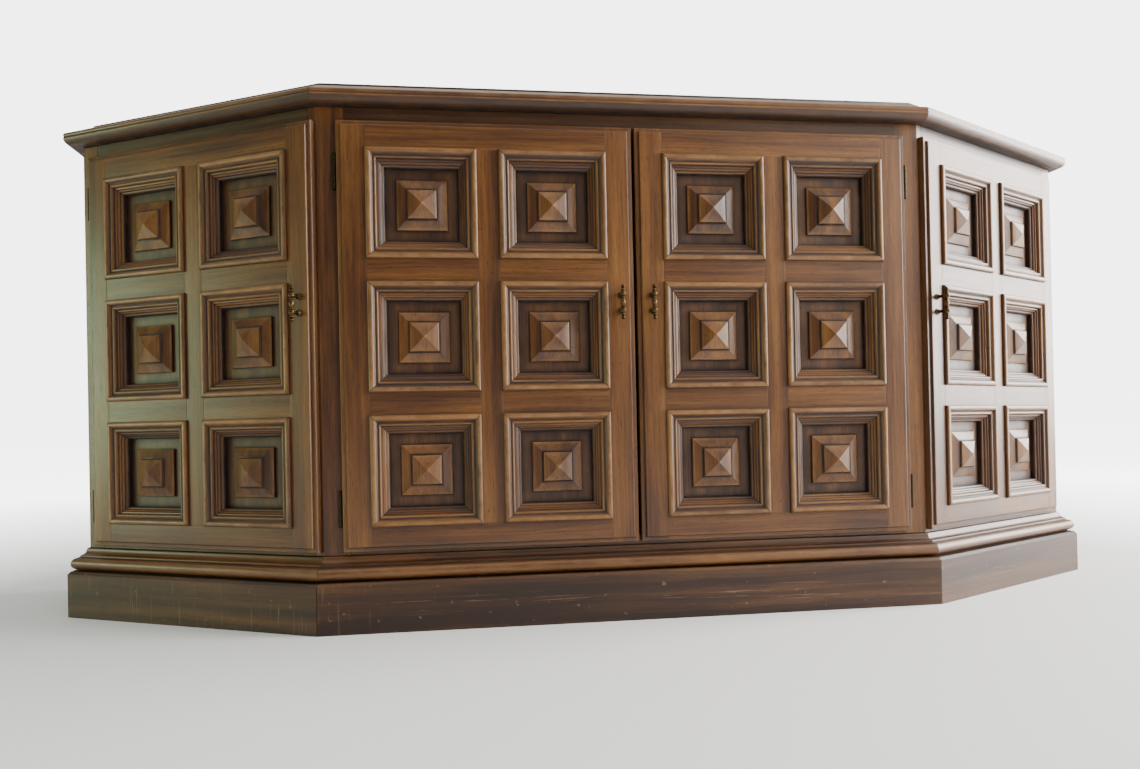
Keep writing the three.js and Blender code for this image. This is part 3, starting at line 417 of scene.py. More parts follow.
def metal(name, colour, roughness, stretch):
    """Rolled or brushed metal, with its marks along the short side of the stretch."""
    n = Nodes(name, metallic=1.0)
    at = n.object_coords()
    lines = n.noise(at, stretch, detail=3, roughness=0.6)
    cloud = n.noise(at, 18, detail=3)
    shade = n.mix(n.span(lines, 0.3, 0.7), tuple(c * (1 - 0.3) for c in colour), colour)
    shade = n.mix(n.span(cloud, 0.45, 0.75, 0, 0.35), shade, tuple(c * 0.45 for c in colour))
    n.bump(lines, 0.12, 0.0002)
    return n.finish(shade, n.plus(n.span(lines, 0.3, 0.7, roughness - 0.05, roughness + 0.08),
                                  n.span(cloud, 0.4, 0.8, 0, 0.12)))


def hardboard(name):
    """Brown pressed board with loose fibres and a waxy side."""
    n = Nodes(name)
    at = n.object_coords()
    fibre = n.noise(at, 420, detail=4, roughness=0.75, distortion=1.5)
    cloud = n.noise(at, 6, detail=3)
    stain = n.noise(at, (1.7, 1.7, 2.4), detail=4, roughness=0.6)
    colour = n.ramp(fibre, [(0.3, (0.085, 0.045, 0.022)), (0.5, (0.170, 0.098, 0.050)),
                            (0.72, (0.270, 0.170, 0.095))])
    colour = n.mix(n.span(cloud, 0.35, 0.7, 0, 0.4), colour, (0.105, 0.058, 0.030))
    colour = n.mix(n.span(stain, 0.55, 0.75, 0, 0.35), colour, (0.050, 0.028, 0.016))
    n.bump(fibre, 0.3, 0.0004)
    return n.finish(colour, n.span(cloud, 0.3, 0.7, 0.62, 0.80))


def glass_face(name):
    """The dark grey-green face of a tube that is switched off, under polished glass."""
    n = Nodes(name)
    at = n.object_coords()
    dots = n.noise(at, 1700, detail=0)
    cloud = n.noise(at, 3, detail=2)
    colour = n.mix(n.span(cloud, 0.3, 0.7), (0.030, 0.036, 0.033), (0.046, 0.053, 0.048))
    colour = n.mix(n.span(dots, 0.35, 0.65, 0, 0.35), colour, (0.018, 0.022, 0.020))
    smear = n.noise(at, (5, 5, 11), detail=4, roughness=0.7)
    return n.finish(colour, n.span(smear, 0.4, 0.75, 0.04, 0.13), Coat_Weight=0.6, Coat_Roughness=0.03)


def cloth_grille(name):
    """Woven speaker cloth in black and gold threads."""
    n = Nodes(name)
    split = n.node("ShaderNodeSeparateXYZ", {0: n.object_coords()})
    warp = n.math("SINE", n.times(split.outputs[0], 4200))
    weft = n.math("SINE", n.times(split.outputs[2], 4200))
    weave = n.times(warp, weft)
    slub = n.noise(n.object_coords(), (60, 60, 900), detail=2)
    colour = n.mix(n.span(weave, -0.6, 0.6), (0.020, 0.016, 0.012), (0.120, 0.090, 0.050))
    colour = n.mix(n.span(slub, 0.58, 0.66, 0, 0.8), colour, (0.30, 0.22, 0.10))
    n.bump(weave, 0.6, 0.0003)
    return n.finish(colour, 0.85)


WALNUT = wood("walnut")
TOP_WALNUT = wood("walnut_top", gloss=0.30, figure=1.2)
PLINTH = {"tones": PLINTH_TONES, "uses_glazing_and_shade": False, "wear": plinth_wear}
DULL = {"gloss": 0.52, "coat": 0.06}
PLINTH_FRONT_WALNUT = wood("walnut_plinth", turn=(0, 0, 0), figure=1.5, **PLINTH, **DULL)
PLINTH_LEFT_WALNUT = wood("walnut_plinth_left", turn=(0, 0, CANT), figure=1.3, **PLINTH, **DULL)
PLINTH_RIGHT_WALNUT = wood("walnut_plinth_right", turn=(0, 0, -CANT), figure=1.3, **PLINTH, **DULL)
PLINTH_SIDE_WALNUT = wood("walnut_plinth_side", turn=(0, 0, math.pi / 2), **PLINTH)
RAIL_WALNUT = wood("walnut_rail", tones=PLINTH_TONES, turn=(0, 0, 0), uses_glazing_and_shade=False)
LEFT_RAIL_WALNUT = wood("walnut_left_rail", tones=PLINTH_TONES, turn=(0, 0, CANT), uses_glazing_and_shade=False)
RIGHT_RAIL_WALNUT = wood("walnut_right_rail", tones=PLINTH_TONES, turn=(0, 0, -CANT), uses_glazing_and_shade=False)
POST_WALNUT = wood("walnut_post", turn=(0, math.pi / 2, 0), uses_glazing_and_shade=False)
INSIDE_TONES = [(0.25, (0.150, 0.090, 0.045)), (0.45, (0.290, 0.185, 0.098)), (0.58, (0.380, 0.255, 0.145)),
                (0.75, (0.470, 0.335, 0.205))]
INSIDE = wood("inside_wood", turn=(0, 0, 0), tones=INSIDE_TONES, gloss=0.6, uses_glazing_and_shade=False, pores=0.4)
INSIDE_UPRIGHT = wood("inside_wood_upright", turn=(0, math.pi / 2, 0), tones=INSIDE_TONES, gloss=0.6,
                      uses_glazing_and_shade=False, pores=0.4)
HARDBOARD = hardboard("hardboard")
PULL_BRASS = brass("antique_brass", (0.130, 0.078, 0.035), (0.022, 0.013, 0.008))
HINGE_BRASS = brass("hinge_brass", (0.048, 0.033, 0.020), (0.018, 0.012, 0.008), 0.42)
SCREW_STEEL = metal("screw_steel", (0.42, 0.40, 0.37), 0.38, (500, 500, 500))
TUBE_FACE = glass_face("tube_face")
TUBE_COAT = plastic("tube_coating", (0.022, 0.022, 0.024), 0.62, 500)
BEZEL = plastic("bezel_plastic", (0.018, 0.017, 0.016), 0.30, 1400, 0.12)
BLACK = plastic("tv_black", (0.020, 0.018, 0.017), 0.60, 700, 0.4)
PANEL = metal("panel_metal", (0.16, 0.125, 0.085), 0.36, (900, 900, 16))
TRIM = metal("bright_trim", (0.72, 0.66, 0.52), 0.22, (30, 30, 600))
KNOB = plastic("knob_plastic", (0.020, 0.019, 0.018), 0.26, 1600, 0.1)
PRINT = plastic("dial_print", (0.74, 0.70, 0.60), 0.5, 600, 0.05, 0.06)
SPEAKER = plastic("speaker_frame", (0.030, 0.029, 0.030), 0.55, 800)
STEEL = metal("chassis_steel", (0.48, 0.48, 0.46), 0.42, (14, 14, 300))
COPPER = metal("copper_winding", (0.52, 0.20, 0.085), 0.32, (900, 60, 60))
GRILLE = cloth_grille("grille_cloth")

# ---------------------------------------------------------------------------- top and mouldings


def run_lengths(name, profile, replaces):
    """A moulding round the cabinet in five mitred lengths, from a profile of (out, z, darkness from glazing and
    painted shade).
    """
    marks = (0.04, 0.9, 3.0)  # steps in from a mitre, where the dark line at the joint fades
    for i, word in enumerate(("left_side", "left_cant", "front", "right_cant", "right_side")):
        ends = [(outline(out)[i], outline(out)[i + 1], z, g) for out, z, g in profile]
        direction = Vector((ends[0][1][0] - ends[0][0][0], ends[0][1][1] - ends[0][0][1], 0)).normalized()
        loops, glazing_and_shade_values = [], []
        for back in (False, True):
            mitred = i < 4 if back else i > 0
            for step in marks[::-1] if back else marks:
                slide = direction * (-step if back else step)
                loops.append([Vector((*(b if back else a), z)) + slide for a, b, z, _ in ends])
                glazing_and_shade_values += [max(g, 0.75) if step == marks[0] and mitred else g for *_, g in ends]
        shape = Shape().add(*skin(loops), direction, Z, f"{name} {word}", glazing_and_shade_values)
        piece(f"{name}_{word}", shape, WALNUT, slot="walnut_case", replaces=replaces if i == 2 else (),
              smooth=40)


def top():
    tip = TOP_UNDER + 10
    up = TOP_SURFACE
    # The third numbers paint shade under the overhang and in the small hollows above the bead, and highlight
    # (below 0) along the bead's edge and up the cove, with glazing and wear.
    profile = [(-13, TOP_UNDER, 0.9), (10, TOP_UNDER, 1.0), (13.4, TOP_UNDER, 0.9)]
    profile += [(x, z, 0.6) for x, z in arc(13.6, tip, 10.6, 9.9, -90, -12, 9)]
    profile += [(24.6, tip - 0.3, -0.35), (24.6, tip + 0.6, -0.5)]
    profile += [(24.15, tip + 1.4, 0.15), (23.9, tip + 2.0, 0.25)]
    profile += [(x, z, -0.25) for x, z in arc(20.8, tip + 5.6, 3.7, 3.7, -25, 90, 9)]
    profile += [(19.4, tip + 9.2, 0.35), (18.4, tip + 9.4, 0.55), (17.4, tip + 9.9, 0.3)]
    cove = [(17.4, tip + 9.9), (13, up - 16.0), (8, up - 13.6), (2, up - 9.8), (-4, up - 6.6), (-9, up - 4.7),
            (-12, up - 3.9)]
    profile += [(x, z, g) for (x, z), g in zip(cove[1:], (0.0, -0.15, -0.3, -0.25, -0.1, 0.3))]
    profile += [(-13, up - 3.7, 0.8), (-13, up - 6, 0.8)]
    run_lengths("top_moulding", profile, ("top_board",))
    levels = [(-13.1, TOP_UNDER + 0.2, 0.5), (-13.1, up - 3.0, 0.9), (-13.1, up - 1.1, 0.55),
              (-13.35, up - 0.5, 0.3), (-13.9, up - 0.1, 0.2), (-15, up, 0.1), (-40, up, 0.0)]
    loops = [[(x, y, z) for x, y in outline(d)] for d, z, _ in levels]
    # The back edge stays straight, flush with the carcass.
    shape = Shape().add(*skin(loops), X, Y, "top panel", [g for _, _, g in levels for _ in range(6)])
    piece("top_panel", shape, TOP_WALNUT, slot="walnut_case", smooth=40)


def base_moulding():
    lo, hi = MOULDING_LOW, MOULDING_HIGH
    middle = lo + 11.2
    # The third numbers paint shade under the torus and in the hollows beside it, and highlight (below 0) over
    # the torus and the cove above, with glazing and wear.
    profile = [(-32, lo, 0.5), (14, lo, 0.9), (14.6, lo + 1.6, 0.9)]
    profile += [(x, z, g) for (x, z), g in zip(arc(15.0, middle, 9.4, 9.0, -88, 88, 16),
                                               [0.7, 0.5, 0.3, 0.15, 0.05, 0, -0.05, -0.1, -0.15, -0.2, -0.2,
                                                -0.2, -0.15, -0.1, 0.05, 0.3, 0.6])]
    profile += [(13.6, middle + 9.4, 0.9), (12.6, middle + 9.9, 0.8), (12.6, middle + 11.6, 0.25),
                (12.4, middle + 12.0, -0.15), (11.6, middle + 12.2, -0.1)]
    profile += [(x, z, g) for (x, z), g in zip(arc(11.4, hi - 0.9, 7.2, 8.8, 262, 184, 7),
                                               [0.25, 0.15, 0.1, 0.05, 0.05, 0.05, 0.0, -0.1])]
    profile += [(3.6, hi - 0.5, -0.2), (3.0, hi, 0.3), (-32, hi, 0.6)]
    run_lengths("base_moulding", profile, ("base_moulding",))


# ---------------------------------------------------------------------------- doors

# Distances out from the face frame; a door's own x runs from its left edge and z from its foot.
FACE_BACK = 0.3
PANEL_IN = 5.0  # how far the sunk panels lie behind the frame
DOOR_BACK = 12.0  # how far the back board stands inside the opening
REBATE = 11.5  # how far the back board is in from the door's edge
PIN_ASIDE, PIN_OUT = 3.6, 3.3  # the hinge pin, beside the door's edge and out from the frame
HINGE_LEVELS = (("lower", 34.0), ("upper", 504.0))
PULL_IN, PULL_OUT, PULL_HEIGHT = 21, 29.3, 344
HALF = 155.0 / 2  # of a moulded square
COLUMNS = (116.5, 301.5)  # middles of the squares, across
ROWS = (111.5, 298.0, 484.5)  # and up
UNDER = 1.0  # how far the stiles and rails run in under the mouldings
# The lip's third numbers paint shadow where the lip meets the frame and at the step up to the face, and
# highlight (below 0) along the rounded lip, with glazing and wear.
LIP_EDGE = [(0, 6.6, 0.35), (0.1, 7.6, 0.2), (0.4, 8.4, 0.0), (0.9, 8.85, -0.15), (1.8, 9.0, -0.1),
            (5.3, 9.0, 0.2), (5.9, 9.1, 0.75), (6.3, 9.5, 0.8), (6.5, 10.6, 0.45), (6.7, 11.9, 0.15),
            (7.1, 12.6, -0.1), (7.8, 12.93, -0.12), (8.8, 13.0, 0.0)]
JOINT_EDGE = [(0, 12.86, 0.4), (0.25, 12.98, 0.12), (0.9, 13.0, 0.0)]


def slab(shape, x0, x1, z0, z1, edges, along, seed):
    """One member of a door's front.

    Its left, right, bottom and top edges each have a profile of (distance in, distance out, darkness from
    glazing and painted shade).
    """
    left, right, bottom, top_edge = edges

    def lines(a, b, first, last):
        marks = [(a + d, o, g) for d, o, g in first] + [(b - d, o, g) for d, o, g in reversed(last)]
        return sorted(marks)

    columns, rows = lines(x0, x1, left, right), lines(z0, z1, bottom, top_edge)
    points, glaze = [], []
    for x, ox, gx in columns:
        for z, oz, gz in rows:
            points.append((x, -min(ox, oz), z))
            glaze.append(gx if ox < oz else gz if oz < ox else max(gx, gz) if min(gx, gz) >= 0 else min(gx, gz,
                    key=abs))
    wide, tall = len(columns), len(rows)
    faces = []
    for i in range(wide - 1):
        for j in range(tall - 1):
            a, b, c, d = i * tall + j, (i + 1) * tall + j, (i + 1) * tall + j + 1, i * tall + j + 1
            out = [-points[k][1] for k in (a, b, c, d)]
            if abs(out[0] + out[2] - out[1] - out[3]) < 1e-6:
                faces.append((a, b, c, d))
            elif min(out) in (out[0], out[2]) and max(out) in (out[0], out[2]):
                faces += [(a, b, c), (a, c, d)]
            else:
                faces += [(a, b, d), (b, c, d)]
    rim = [i * tall for i in range(wide)] + [(wide - 1) * tall + j for j in range(1, tall)]
    rim += [i * tall + tall - 1 for i in range(wide - 2, -1, -1)] + list(range(tall - 2, 0, -1))
    base = len(points)
    points += [(points[k][0], -FACE_BACK, points[k][2]) for k in rim]
    glaze += [0.2] * len(rim)
    count = len(rim)
    faces += [(rim[k], rim[(k + 1) % count], base + (k + 1) % count, base + k) for k in range(count)]
    faces.append(tuple(base + k for k in range(count)))
    shape.add(points, faces, along, X if along == Z else Z, seed, glaze)


def door_members(name):
    """The stiles, rails and mullion of a door's front."""
    shape = Shape()
    w, h, lip, joint = DOOR_WIDTH, DOOR_HEIGHT, LIP_EDGE, JOINT_EDGE
    edge_l, edge_r = COLUMNS[0] - HALF + UNDER, COLUMNS[1] + HALF - UNDER
    inner_l, inner_r = COLUMNS[0] + HALF - UNDER, COLUMNS[1] - HALF + UNDER
    low_z, high_z = ROWS[0] - HALF + UNDER, ROWS[2] + HALF - UNDER
    slab(shape, 0, edge_l, 0, h, (lip, joint, lip, lip), Z, f"{name} left stile")
    slab(shape, edge_r, w, 0, h, (joint, lip, lip, lip), Z, f"{name} right stile")
    slab(shape, edge_l, edge_r, 0, low_z, (joint, joint, lip, joint), X, f"{name} bottom rail")
    slab(shape, edge_l, edge_r, high_z, h, (joint, joint, joint, lip), X, f"{name} top rail")
    slab(shape, inner_l, inner_r, low_z, high_z, (joint,) * 4, Z, f"{name} mullion")
    for k, (a, b) in enumerate(zip(ROWS, ROWS[1:])):
        for side, (x0, x1) in enumerate(((edge_l, inner_l), (inner_r, edge_r))):
            slab(shape, x0, x1, a + HALF - UNDER, b - HALF + UNDER, (joint,) * 4, X, f"{name} rail {k} {side}")
    return shape


# Each point is (distance in, distance out, darkness): painted shade in the grooves and coves and painted
# highlight (below 0) on the bead crests, with glazing and wear.
MOULD = [(0, 12.6, 1.0), (0, 13.5, 0.9), (0.05, 14.5, 0.4), (0.25, 15.6, 0.1), (0.8, 16.6, -0.1),
         (1.9, 17.5, -0.35), (3.4, 17.95, -0.5),
         (4.8, 18.0, -0.5), (6.2, 17.75, -0.4), (7.4, 17.1, -0.1), (8.1, 16.3, 0.05), (8.8, 15.2, 0.3),
         (9.6, 14.3, 0.7), (10.5, 13.8, 0.95),
         (11.4, 13.6, 0.95), (12.0, 13.75, 0.3), (12.8, 14.15, -0.2), (13.7, 14.15, -0.4), (14.6, 13.6, -0.2),
         (15.3, 12.5, 0.05), (15.8, 11.2, 0.4),
         (16.1, 9.7, 1.0), (16.8, 9.3, 0.4), (17.6, 9.3, -0.05), (18.3, 9.1, -0.15), (18.75, 8.5, 0.2),
         (19.0, 7.4, 0.95), (19.7, 6.9, 0.35),
         (20.8, 6.5, -0.05), (21.5, 5.9, 0.05), (21.85, 5.0, 0.5), (22.0, 4.2, 1.0), (22.9, 3.4, 0.45),
         (24.1, 3.2, 0.05), (24.9, 2.6, 0.25), (25.4, 1.6, 0.9),
         (26, 1.0, 1.0)]


def square_moulding(shape, cx, cz, seed):
    """Four mitred lengths round one square."""
    profile = [(0.0, FACE_BACK + 0.1, 0.5), *MOULD, (26, -2.0, 1.0), (26, -4.95, 1.0), (23, -4.95, 0.9),
               (23, FACE_BACK + 0.1, 0.9)]
    for k, (along, inward) in enumerate(((X, Z), (Z, X), (X, Z), (Z, X))):
        sign = 1 if k in (0, 1) else -1
        loops, glazing_and_shade_values = [], []
        for end in (-1, 1):
            for step in (0.0, 0.7, 2.4) if end < 0 else (2.4, 0.7, 0.0):
                loop = []
                for w, out, g in profile:
                    reach = HALF - w - (0.03 + step)
                    a, b = end * reach, sign * (HALF - w)
                    loop.append((cx + a, -out, cz + b) if along == X else (cx + b, -out, cz + a))
                    glazing_and_shade_values.append(max(g, 0.85) if step == 0 else g * 0.9 + 0.1 if step < 1 else g)
                loops.append(loop)
        shape.add(*skin(loops), along, inward, f"{seed} {k}", glazing_and_shade_values)


def square_rings(shape, profile, cx, cz, seed):
    """Adds a profile of (half width, distance out, darkness from glazing and painted shade), run round a
    square.
    """
    corners = ((-1, -1), (1, -1), (1, 1), (-1, 1))
    loops = [[(cx + sx * half, -out, cz + sz * half) for sx, sz in corners] for half, out, _ in profile]
    shape.add(*skin(loops), Z, X, seed, [g for *_, g in profile for _ in corners])


# The sunk panels are darkened all over, darkest beside the mouldings: painted shade with glazing.
SUNK = [(53, -7.2, 0.5), (53, -5.05, 0.9)]
SUNK += [(half, -PANEL_IN, g) for half, g in ((51.6, 1.0), (50.4, 1.0), (48.6, 0.75), (46.5, 0.6), (43, 0.42),
                                              (39, 0.45), (36.8, 0.75), (35.4, 1.0), (33, 1.0))]
# The third numbers paint shade at the block's foot and step, and highlight (below 0) on the bevel's edge, the
# step's lip and the tip, with glazing and wear.
BLOCK = [(35.2, -5.4, 1.0), (35.5, -4.8, 1.0), (35.5, -4.0, 0.6), (35.45, -2.3, 0.1), (35.1, -1.6, -0.4),
         (34.2, -1.1, -0.35), (31, 0.2, -0.05), (26, 2.2, 0.0), (23.2, 3.35, 0.3),
         (22.3, 3.7, 1.0), (21.5, 3.9, 1.0), (20.9, 4.6, 0.7), (20.3, 6.2, 0.3), (20.0, 6.9, -0.2),
         (19.3, 7.4, -0.35), (18.2, 7.9, -0.2), (10, 11.1, 0.0), (4, 13.4, 0.0), (1.2, 14.5, -0.25),
         (0.4, 14.85, -0.3)]


HUNG_LEFT = ("left_cant_door", "front_left_door")


def door_matrix(name):
    joint = next(j for j in frame["joints"] if j["child"] == name)
    pin = Vector(joint["pos_m"])
    turn = {"left_cant_door": -CANT, "right_cant_door": CANT}.get(name, 0.0)
    across = -PIN_ASIDE if name in HUNG_LEFT else DOOR_WIDTH + PIN_ASIDE
    local = Vector((across, -PIN_OUT, 0)) * MM
    spin = Matrix.Rotation(turn, 4, "Z")
    corner = Vector((pin.x, pin.y, 0)) - spin @ local
    corner.z = DOOR_LOW * MM
    return Matrix.Translation(corner) @ spin


def back_board(name):
    """The board behind a door's squares, rebated to stand in the opening."""
    shape = Shape()
    rim, bar = REBATE, 14  # bar is the width of the bars that stand the board off the stiles and rails
    w, h = DOOR_WIDTH, DOOR_HEIGHT
    levels = [(rim, -7.3, 0.6), (rim, 0.8 - DOOR_BACK, 0.4), (rim + 0.8, -DOOR_BACK, 0.1),
              (rim + 30, -DOOR_BACK, 0.0)]
    loops = [[(d, -out, d), (w - d, -out, d), (w - d, -out, h - d), (d, -out, h - d)] for d, out, _ in levels]
    shape.add(*skin(loops), Z, X, f"{name} back", [g for *_, g in levels for _ in range(4)])
    uprights = [(rim, rim + bar, rim, h - rim), (w - rim - bar, w - rim, rim, h - rim)]
    crossbars = [(rim + bar, w - rim - bar, rim, rim + bar), (rim + bar, w - rim - bar, h - rim - bar, h - rim)]
    for k, (x0, x1, z0, z1) in enumerate(uprights + crossbars):
        along, across = (Z, X) if k < 2 else (X, Z)
        shape.add(*box_points((x0, 0.0, z0), (x1, 7.25, z1)), along, across, f"{name} back bar {k}", 0.4)
    return shape


def pull_shape():
    """A turned bar with finials and beads, on two turned posts. The bar's middle is the origin."""
    shape = Shape()
    half, post = 25.0, 11.5
    finial = ((0.02, 0), (0.9, 0.15), (1.7, 0.6), (2.5, 1.4), (2.95, 2.4), (2.95, 3.2), (2.5, 4.2), (1.7, 4.9),
              (1.5, 5.4), (1.75, 5.8), (2.7, 6.2), (3.25, 6.8), (3.25, 7.5), (2.7, 8.0), (2.3, 8.4), (2.5, 8.8))
    knop = ((3.1, 3.2), (3.2, 2.8), (2.9, 2.5), (3.6, 2.3), (4.35, 1.8), (4.6, 1.1), (4.6, 0.5), (4.2, 0.2),
            (3.7, 0), (4.2, -0.2), (4.6, -0.5), (4.6, -1.1), (4.35, -1.8), (3.6, -2.3), (2.6, -2.7),
            (2.2, -3.2), (2.3, -3.8), (3.0, -4.2), (3.2, -4.7), (3.0, -5.2), (2.4, -5.6), (2.5, -6.2))
    upper = [(r, half - d) for r, d in finial] + [(r, post + d) for r, d in knop]
    upper += [(2.9, 3.9), (3.5, 2.6), (3.85, 1.3), (3.95, 0.5)]
    profile = upper + [(r, -h) for r, h in reversed(upper)]
    shape.add(*turned(profile, 36), glaze=[0.55 if r < 2.7 else 0.0 if r < 3.8 else -0.3 for r,
                                           _ in profile for _ in range(36)])
    for z in (-post, post):
        leg = [(0.02, 0.1), (5.0, 0.1), (5.0, 0.9), (4.6, 1.3), (3.9, 1.5), (3.7, 2.0), (4.0, 2.4), (3.8, 2.9),
               (2.9, 3.4), (2.4, 4.4), (2.25, 6.5), (2.4, 9.0), (2.9, 10.6), (3.2, 11.6), (3.0, 13),
               (2.6, 15.5), (0.02, 16)]
        shape.add(*turned(leg, 28, "forward", (0, 16, z)), glaze=[0.4 if r < 3 else 0.0 for r,
                _ in leg for _ in range(28)])
    return shape


def screw_head(shape, centre, radius, axis=-1.0, rise=0.8, slot_turn=0.4, flat=False):
    """A slotted screw head that faces -Y for axis -1, or +Y for 1."""
    top_r = radius * (0.96 if flat else 0.62)
    profile = [(radius, 0), (radius, rise * 0.25), (radius * 0.92, rise * 0.62), (top_r, rise), (0.02, rise)]
    angles = [2 * math.pi * k / 18 for k in range(18)]
    rings = []
    for r, h in profile:
        rings.append([Vector((r * math.cos(a), axis * h, r * math.sin(a))) + Vector(centre) for a in angles])
    shape.add(*skin(rings), glaze=0.1)
    width, reach = radius * 0.13, radius * 0.8
    c, s = math.cos(slot_turn), math.sin(slot_turn)
    y = centre[1] + axis * (rise + 0.02)
    corners = [(-reach, -width), (reach, -width), (reach, width), (-reach, width)]
    loops = [[(centre[0] + u * c - v * s, y + axis * d, centre[2] + u * s + v * c) for u,
              v in corners] for d in (-0.3, 0.03)]
    shape.add(*skin(loops), glaze=1.4)


def hinge(name, word, level, side, matrix, body):
    """The two leaves of a butt hinge, in the CAD leaves' places. side is 1 for a left-hinged door."""
    origin_x = -PIN_ASIDE if side > 0 else DOOR_WIDTH + PIN_ASIDE
    length = 51.0
    pitch = length / 5

    def at(x, y, z):
        return (origin_x + side * x, -PIN_OUT + y, level + z)

    def plate(shape, x0, x1, y0, y1, z0, z1):
        lo, hi = at(x0, y0, z0), at(x1, y1, z1)
        shape.add(*box_points([min(a, b) for a, b in zip(lo, hi)], [max(a, b) for a, b in zip(lo, hi)]),
                  glaze=0.4)

    for leaf, body_name, own in (("frame_leaf", "cabinet", (0, 2, 4)), ("door_leaf", body, (1, 3))):
        shape = Shape()
        for k in own:
            z0, z1 = k * pitch + 0.15, (k + 1) * pitch - 0.15
            barrel = [(0.3, z0), (2.55, z0), (3.0, z0 + 0.45), (3.0, z1 - 0.45), (2.55, z1), (0.3, z1)]
            glaze = [g for g in (0.9, 0.9, -0.2, -0.2, 0.9, 0.9) for _ in range(28)]
            shape.add(*turned(barrel, 28, "z", at(0, 0, 0)), glaze=glaze)
            if leaf == "frame_leaf":
                plate(shape, -0.75, 0.75, 0, 3.9, z0, z1)
            else:
                plate(shape, 0, 4.6, 1.2, 2.7, z0, z1)
        if leaf == "frame_leaf":
            plate(shape, -0.75, 12.3, 3.6, 5.1, 0, length)
            pin = [(0.02, 0.0), (1.2, 0.0), (1.2, length), (0.02, length)]
            shape.add(*turned(pin, 20, "z", at(0, 0, 0)), glaze=0.5)
            for z in (9, 25.5, 42):
                screw_head(shape, at(7.6, 3.6, z), 2.3, -1, 0.25, 0.3 + z, flat=True)
        else:
            plate(shape, 3.6, 12.6, 1.2, 2.7, 0, length)
            for z in (9, 25.5, 42):
                screw_head(shape, at(8.4, 2.7, z), 2.3, 1, 0.25, 0.8 + z, flat=True)
        node = f"{name}_{word}_hinge_{leaf}"
        piece(f"{node}_fine", shape, HINGE_BRASS, body_name, "hinge_brass", matrix, replaces=(node,))


def doors():
    for name in ("left_cant_door", "front_left_door", "front_right_door", "right_cant_door"):
        matrix = door_matrix(name)
        side = 1 if name in HUNG_LEFT else -1
        options = {"body": name, "slot": "walnut_door", "matrix": matrix}
        piece(f"{name}_stiles_and_rails", door_members(name), WALNUT, **options, replaces=(f"{name}_frame",))
        mouldings, panels, blocks = Shape(), Shape(), Shape()
        for i, cx in enumerate(COLUMNS):
            for j, cz in enumerate(ROWS):
                square_moulding(mouldings, cx, cz, f"{name} {i}{j}")
                square_rings(panels, SUNK, cx, cz, f"{name} panel {i}{j}")
                square_rings(blocks, BLOCK, cx, cz, f"{name} block {i}{j}")
        piece(f"{name}_mouldings", mouldings, WALNUT, **options)
        piece(f"{name}_sunk_panels", panels, WALNUT, **options)
        piece(f"{name}_raised_blocks", blocks, WALNUT, **options, smooth=22)
        piece(f"{name}_back_board", back_board(name), WALNUT, **options, replaces=(f"{name}_panel",))
        pull_x = DOOR_WIDTH - PULL_IN if side > 0 else PULL_IN
        place = matrix @ Matrix.Translation(Vector((pull_x, -PULL_OUT, PULL_HEIGHT)) * MM)
        piece(f"{name}_turned_pull", pull_shape(), PULL_BRASS, name, "antique_brass", place, smooth=50,
              replaces=(f"{name}_pull",))
        for word, level in HINGE_LEVELS:
            hinge(name, word, level, side, matrix, name)


# ---------------------------------------------------------------------------- television

SCREEN_X, SCREEN_Z = -105.0, DECK_TOP + 345  # the screen's middle
BAFFLE_Y = low("tv_baffle").y
CONTROL_X = (low("control_panel").x + high("control_panel").x) / 2


def rounded(half_w, half_h, corner, y, steps=10):
    """A rectangle with round corners, as a loop at one depth."""
    loop = []
    for sx, sz, quarter in ((1, 1, 0), (-1, 1, 1), (-1, -1, 2), (1, -1, 3)):
        for k in range(steps + 1):
            a = math.radians(90) * (quarter + k / steps)
            loop.append(Vector((SCREEN_X + sx * (half_w - corner) + corner * math.cos(a), y,
                                SCREEN_Z + sz * (half_h - corner) + corner * math.sin(a))))
    return loop


def tube_part(name, levels, material, smooth=50, **options):
    """A part of the tube, from levels of (half width, half height, corner, distance back)."""
    loops = [rounded(a, b, c, BAFFLE_Y + d) for a, b, c, d in levels]
    piece(name, Shape().add(*skin(loops)), material, slot="tube_glass", smooth=smooth, **options)


def round_levels(*radii):
    """The levels of a round part, from pairs of (radius, distance back)."""
    return [(r, r, r - 0.2, d) for r, d in radii]


def picture_tube():
    w, h = 268.5, 208.5
    levels = []
    for k in range(15):
        t = k / 14 * math.pi / 2
        grow = 0.04 + 0.93 * math.sin(t)
        levels.append((w * grow, h * grow, 60 * grow, -7.5 + 13.5 * (1 - math.cos(t)) ** 0.9))
    tube_part("tube_face", levels + [(w * 0.99, h * 0.99, 60, 8.5), (w, h, 60, 13)], TUBE_FACE, 60)
    levels = [(w, h, 60, 13.2), (w, h, 60, 62), (w * 0.955, h * 0.955, 72, 88), (w * 0.8, h * 0.8, 96, 132)]
    levels += [(w * 0.6, h * 0.64, 100, 180), (w * 0.44, h * 0.49, h * 0.44, 217), (95, 92, 91, 255),
               (70, 70, 69.5, 289)]
    tube_part("tube_funnel", levels, TUBE_COAT, 60, replaces=("picture_tube",))
    winding = [(64 + 1.4 * math.sin(k * 2.1), 304 + k * 2.2) for k in range(14)]
    yoke = [(66, 289.5), (69, 291), (69.5, 300), (66, 302), *winding, (66, 336), (66, 339), (20, 340)]
    tube_part("deflection_yoke", round_levels(*yoke), COPPER)
    neck = [(17.6, 340), (17.6, 395), (17.9, 396), (17.9, 408), (17.6, 409), (17.6, 424), (14, 428), (14, 437),
            (11, 439.5)]
    tube_part("tube_neck", round_levels(*neck), TUBE_COAT)


OPENING_HALF_WIDTH, OPENING_HALF_HEIGHT, OPENING_CORNER = 270, 210, 60


